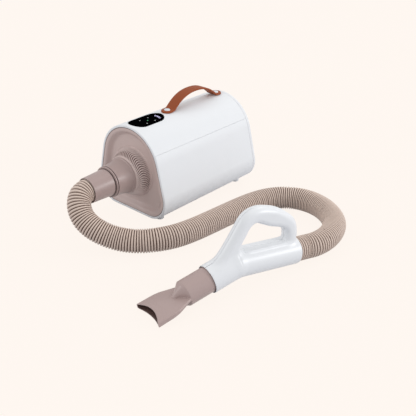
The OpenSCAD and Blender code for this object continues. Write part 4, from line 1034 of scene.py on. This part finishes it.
def make_nozzle():
    step = 0.6
    low, high = (-21, -37, -25), (119, 37, 25)
    points, faces = skin_field(nozzle_field(*local_grid(low, high, step)), low, step)
    nozzle = mesh_piece("nozzle_shell", nozzle_to_world(points), faces, sharp=62)
    store_valleys(nozzle, nozzle_inside(*points.T) < 0.3)  # painted shade on the inner skin
    add(nozzle, "taupe_nozzle", "nozzle", "nozzle", slot="taupe_panel")


make_nozzle()

# ---------- floor, backdrop and lights ----------
CREAM = srgb(255, 247, 240)
FLOOR_MATTE = (0.53, 0.54, 0.58, 1)
FLOOR_GLOW, GLOW_SHARE, WORLD_LEVEL = 1.03, 0.93, 0.83
FLOOR_REACH = 9000


def pale_surface(name, color):
    """A floor that the camera sees at its own colour, and that still takes the object's shadow."""
    made = bpy.data.materials.new(name)
    made.use_nodes = True
    nodes, links = made.node_tree.nodes, made.node_tree.links
    nodes.remove(nodes["Principled BSDF"])
    matte = new_node(made, "ShaderNodeBsdfDiffuse", {"Color": FLOOR_MATTE})
    glow = new_node(made, "ShaderNodeEmission", {"Color": (*color, 1), "Strength": FLOOR_GLOW})
    path = new_node(made, "ShaderNodeLightPath")
    mirrored, seen = (new_node(made, "ShaderNodeMath", operation="MAXIMUM") for _ in range(2))
    share = new_node(made, "ShaderNodeMath", {1: GLOW_SHARE}, operation="MULTIPLY")
    mix = new_node(made, "ShaderNodeMixShader")
    links.new(path.outputs["Is Glossy Ray"], mirrored.inputs[0])
    links.new(path.outputs["Is Transmission Ray"], mirrored.inputs[1])
    links.new(path.outputs["Is Camera Ray"], seen.inputs[0])
    links.new(mirrored.outputs[0], seen.inputs[1])
    links.new(seen.outputs[0], share.inputs[0])
    links.new(share.outputs[0], mix.inputs["Fac"])
    links.new(matte.outputs[0], mix.inputs[1])
    links.new(glow.outputs[0], mix.inputs[2])
    links.new(mix.outputs[0], nodes["Material Output"].inputs["Surface"])
    return made


floor_corners = [(x * FLOOR_REACH, y * FLOOR_REACH, 0) for x, y in ((-1, -1), (1, -1), (1, 1), (-1, 1))]
floor = mesh_piece("floor", floor_corners, [(0, 1, 2, 3)])
floor.data.materials.append(pale_surface("floor_cream", CREAM))


def make_world():
    """Even light all round, and the cream backdrop for the camera."""
    world = bpy.data.worlds.new("studio")
    bpy.context.scene.world = world
    world.use_nodes = True
    nodes, links = world.node_tree.nodes, world.node_tree.links
    plain = nodes["Background"]
    plain.inputs["Color"].default_value = (1, 1, 1, 1)
    plain.inputs["Strength"].default_value = WORLD_LEVEL
    backdrop = new_node(world, "ShaderNodeBackground", {"Color": (*CREAM, 1)})
    path = new_node(world, "ShaderNodeLightPath")
    mix = new_node(world, "ShaderNodeMixShader")
    links.new(path.outputs["Is Camera Ray"], mix.inputs["Fac"])
    links.new(plain.outputs[0], mix.inputs[1])
    links.new(backdrop.outputs[0], mix.inputs[2])
    links.new(mix.outputs[0], nodes["World Output"].inputs["Surface"])


def lamp(name, at, size, power, target=(0.12, -0.1, 0.08)):
    """A round lamp, placed in metres, that faces the object."""
    light = bpy.data.lights.new(name, "AREA")
    light.shape, light.size, light.energy = "DISK", size, power
    holder = bpy.data.objects.new(name, light)
    bpy.context.collection.objects.link(holder)
    holder.location = at
    holder.rotation_euler = (Vector(at) - Vector(target)).to_track_quat("Z", "Y").to_euler()


make_world()
lamp("left", at=(-3.0, -4.0, 2.5), size=2.0, power=40)
lamp("side", at=(4.2, 2.7, 1.5), size=1.5, power=78)
lamp("back", at=(0.1, 3.5, 3.9), size=1.8, power=22)
bpy.context.scene.view_settings.view_transform = "Standard"
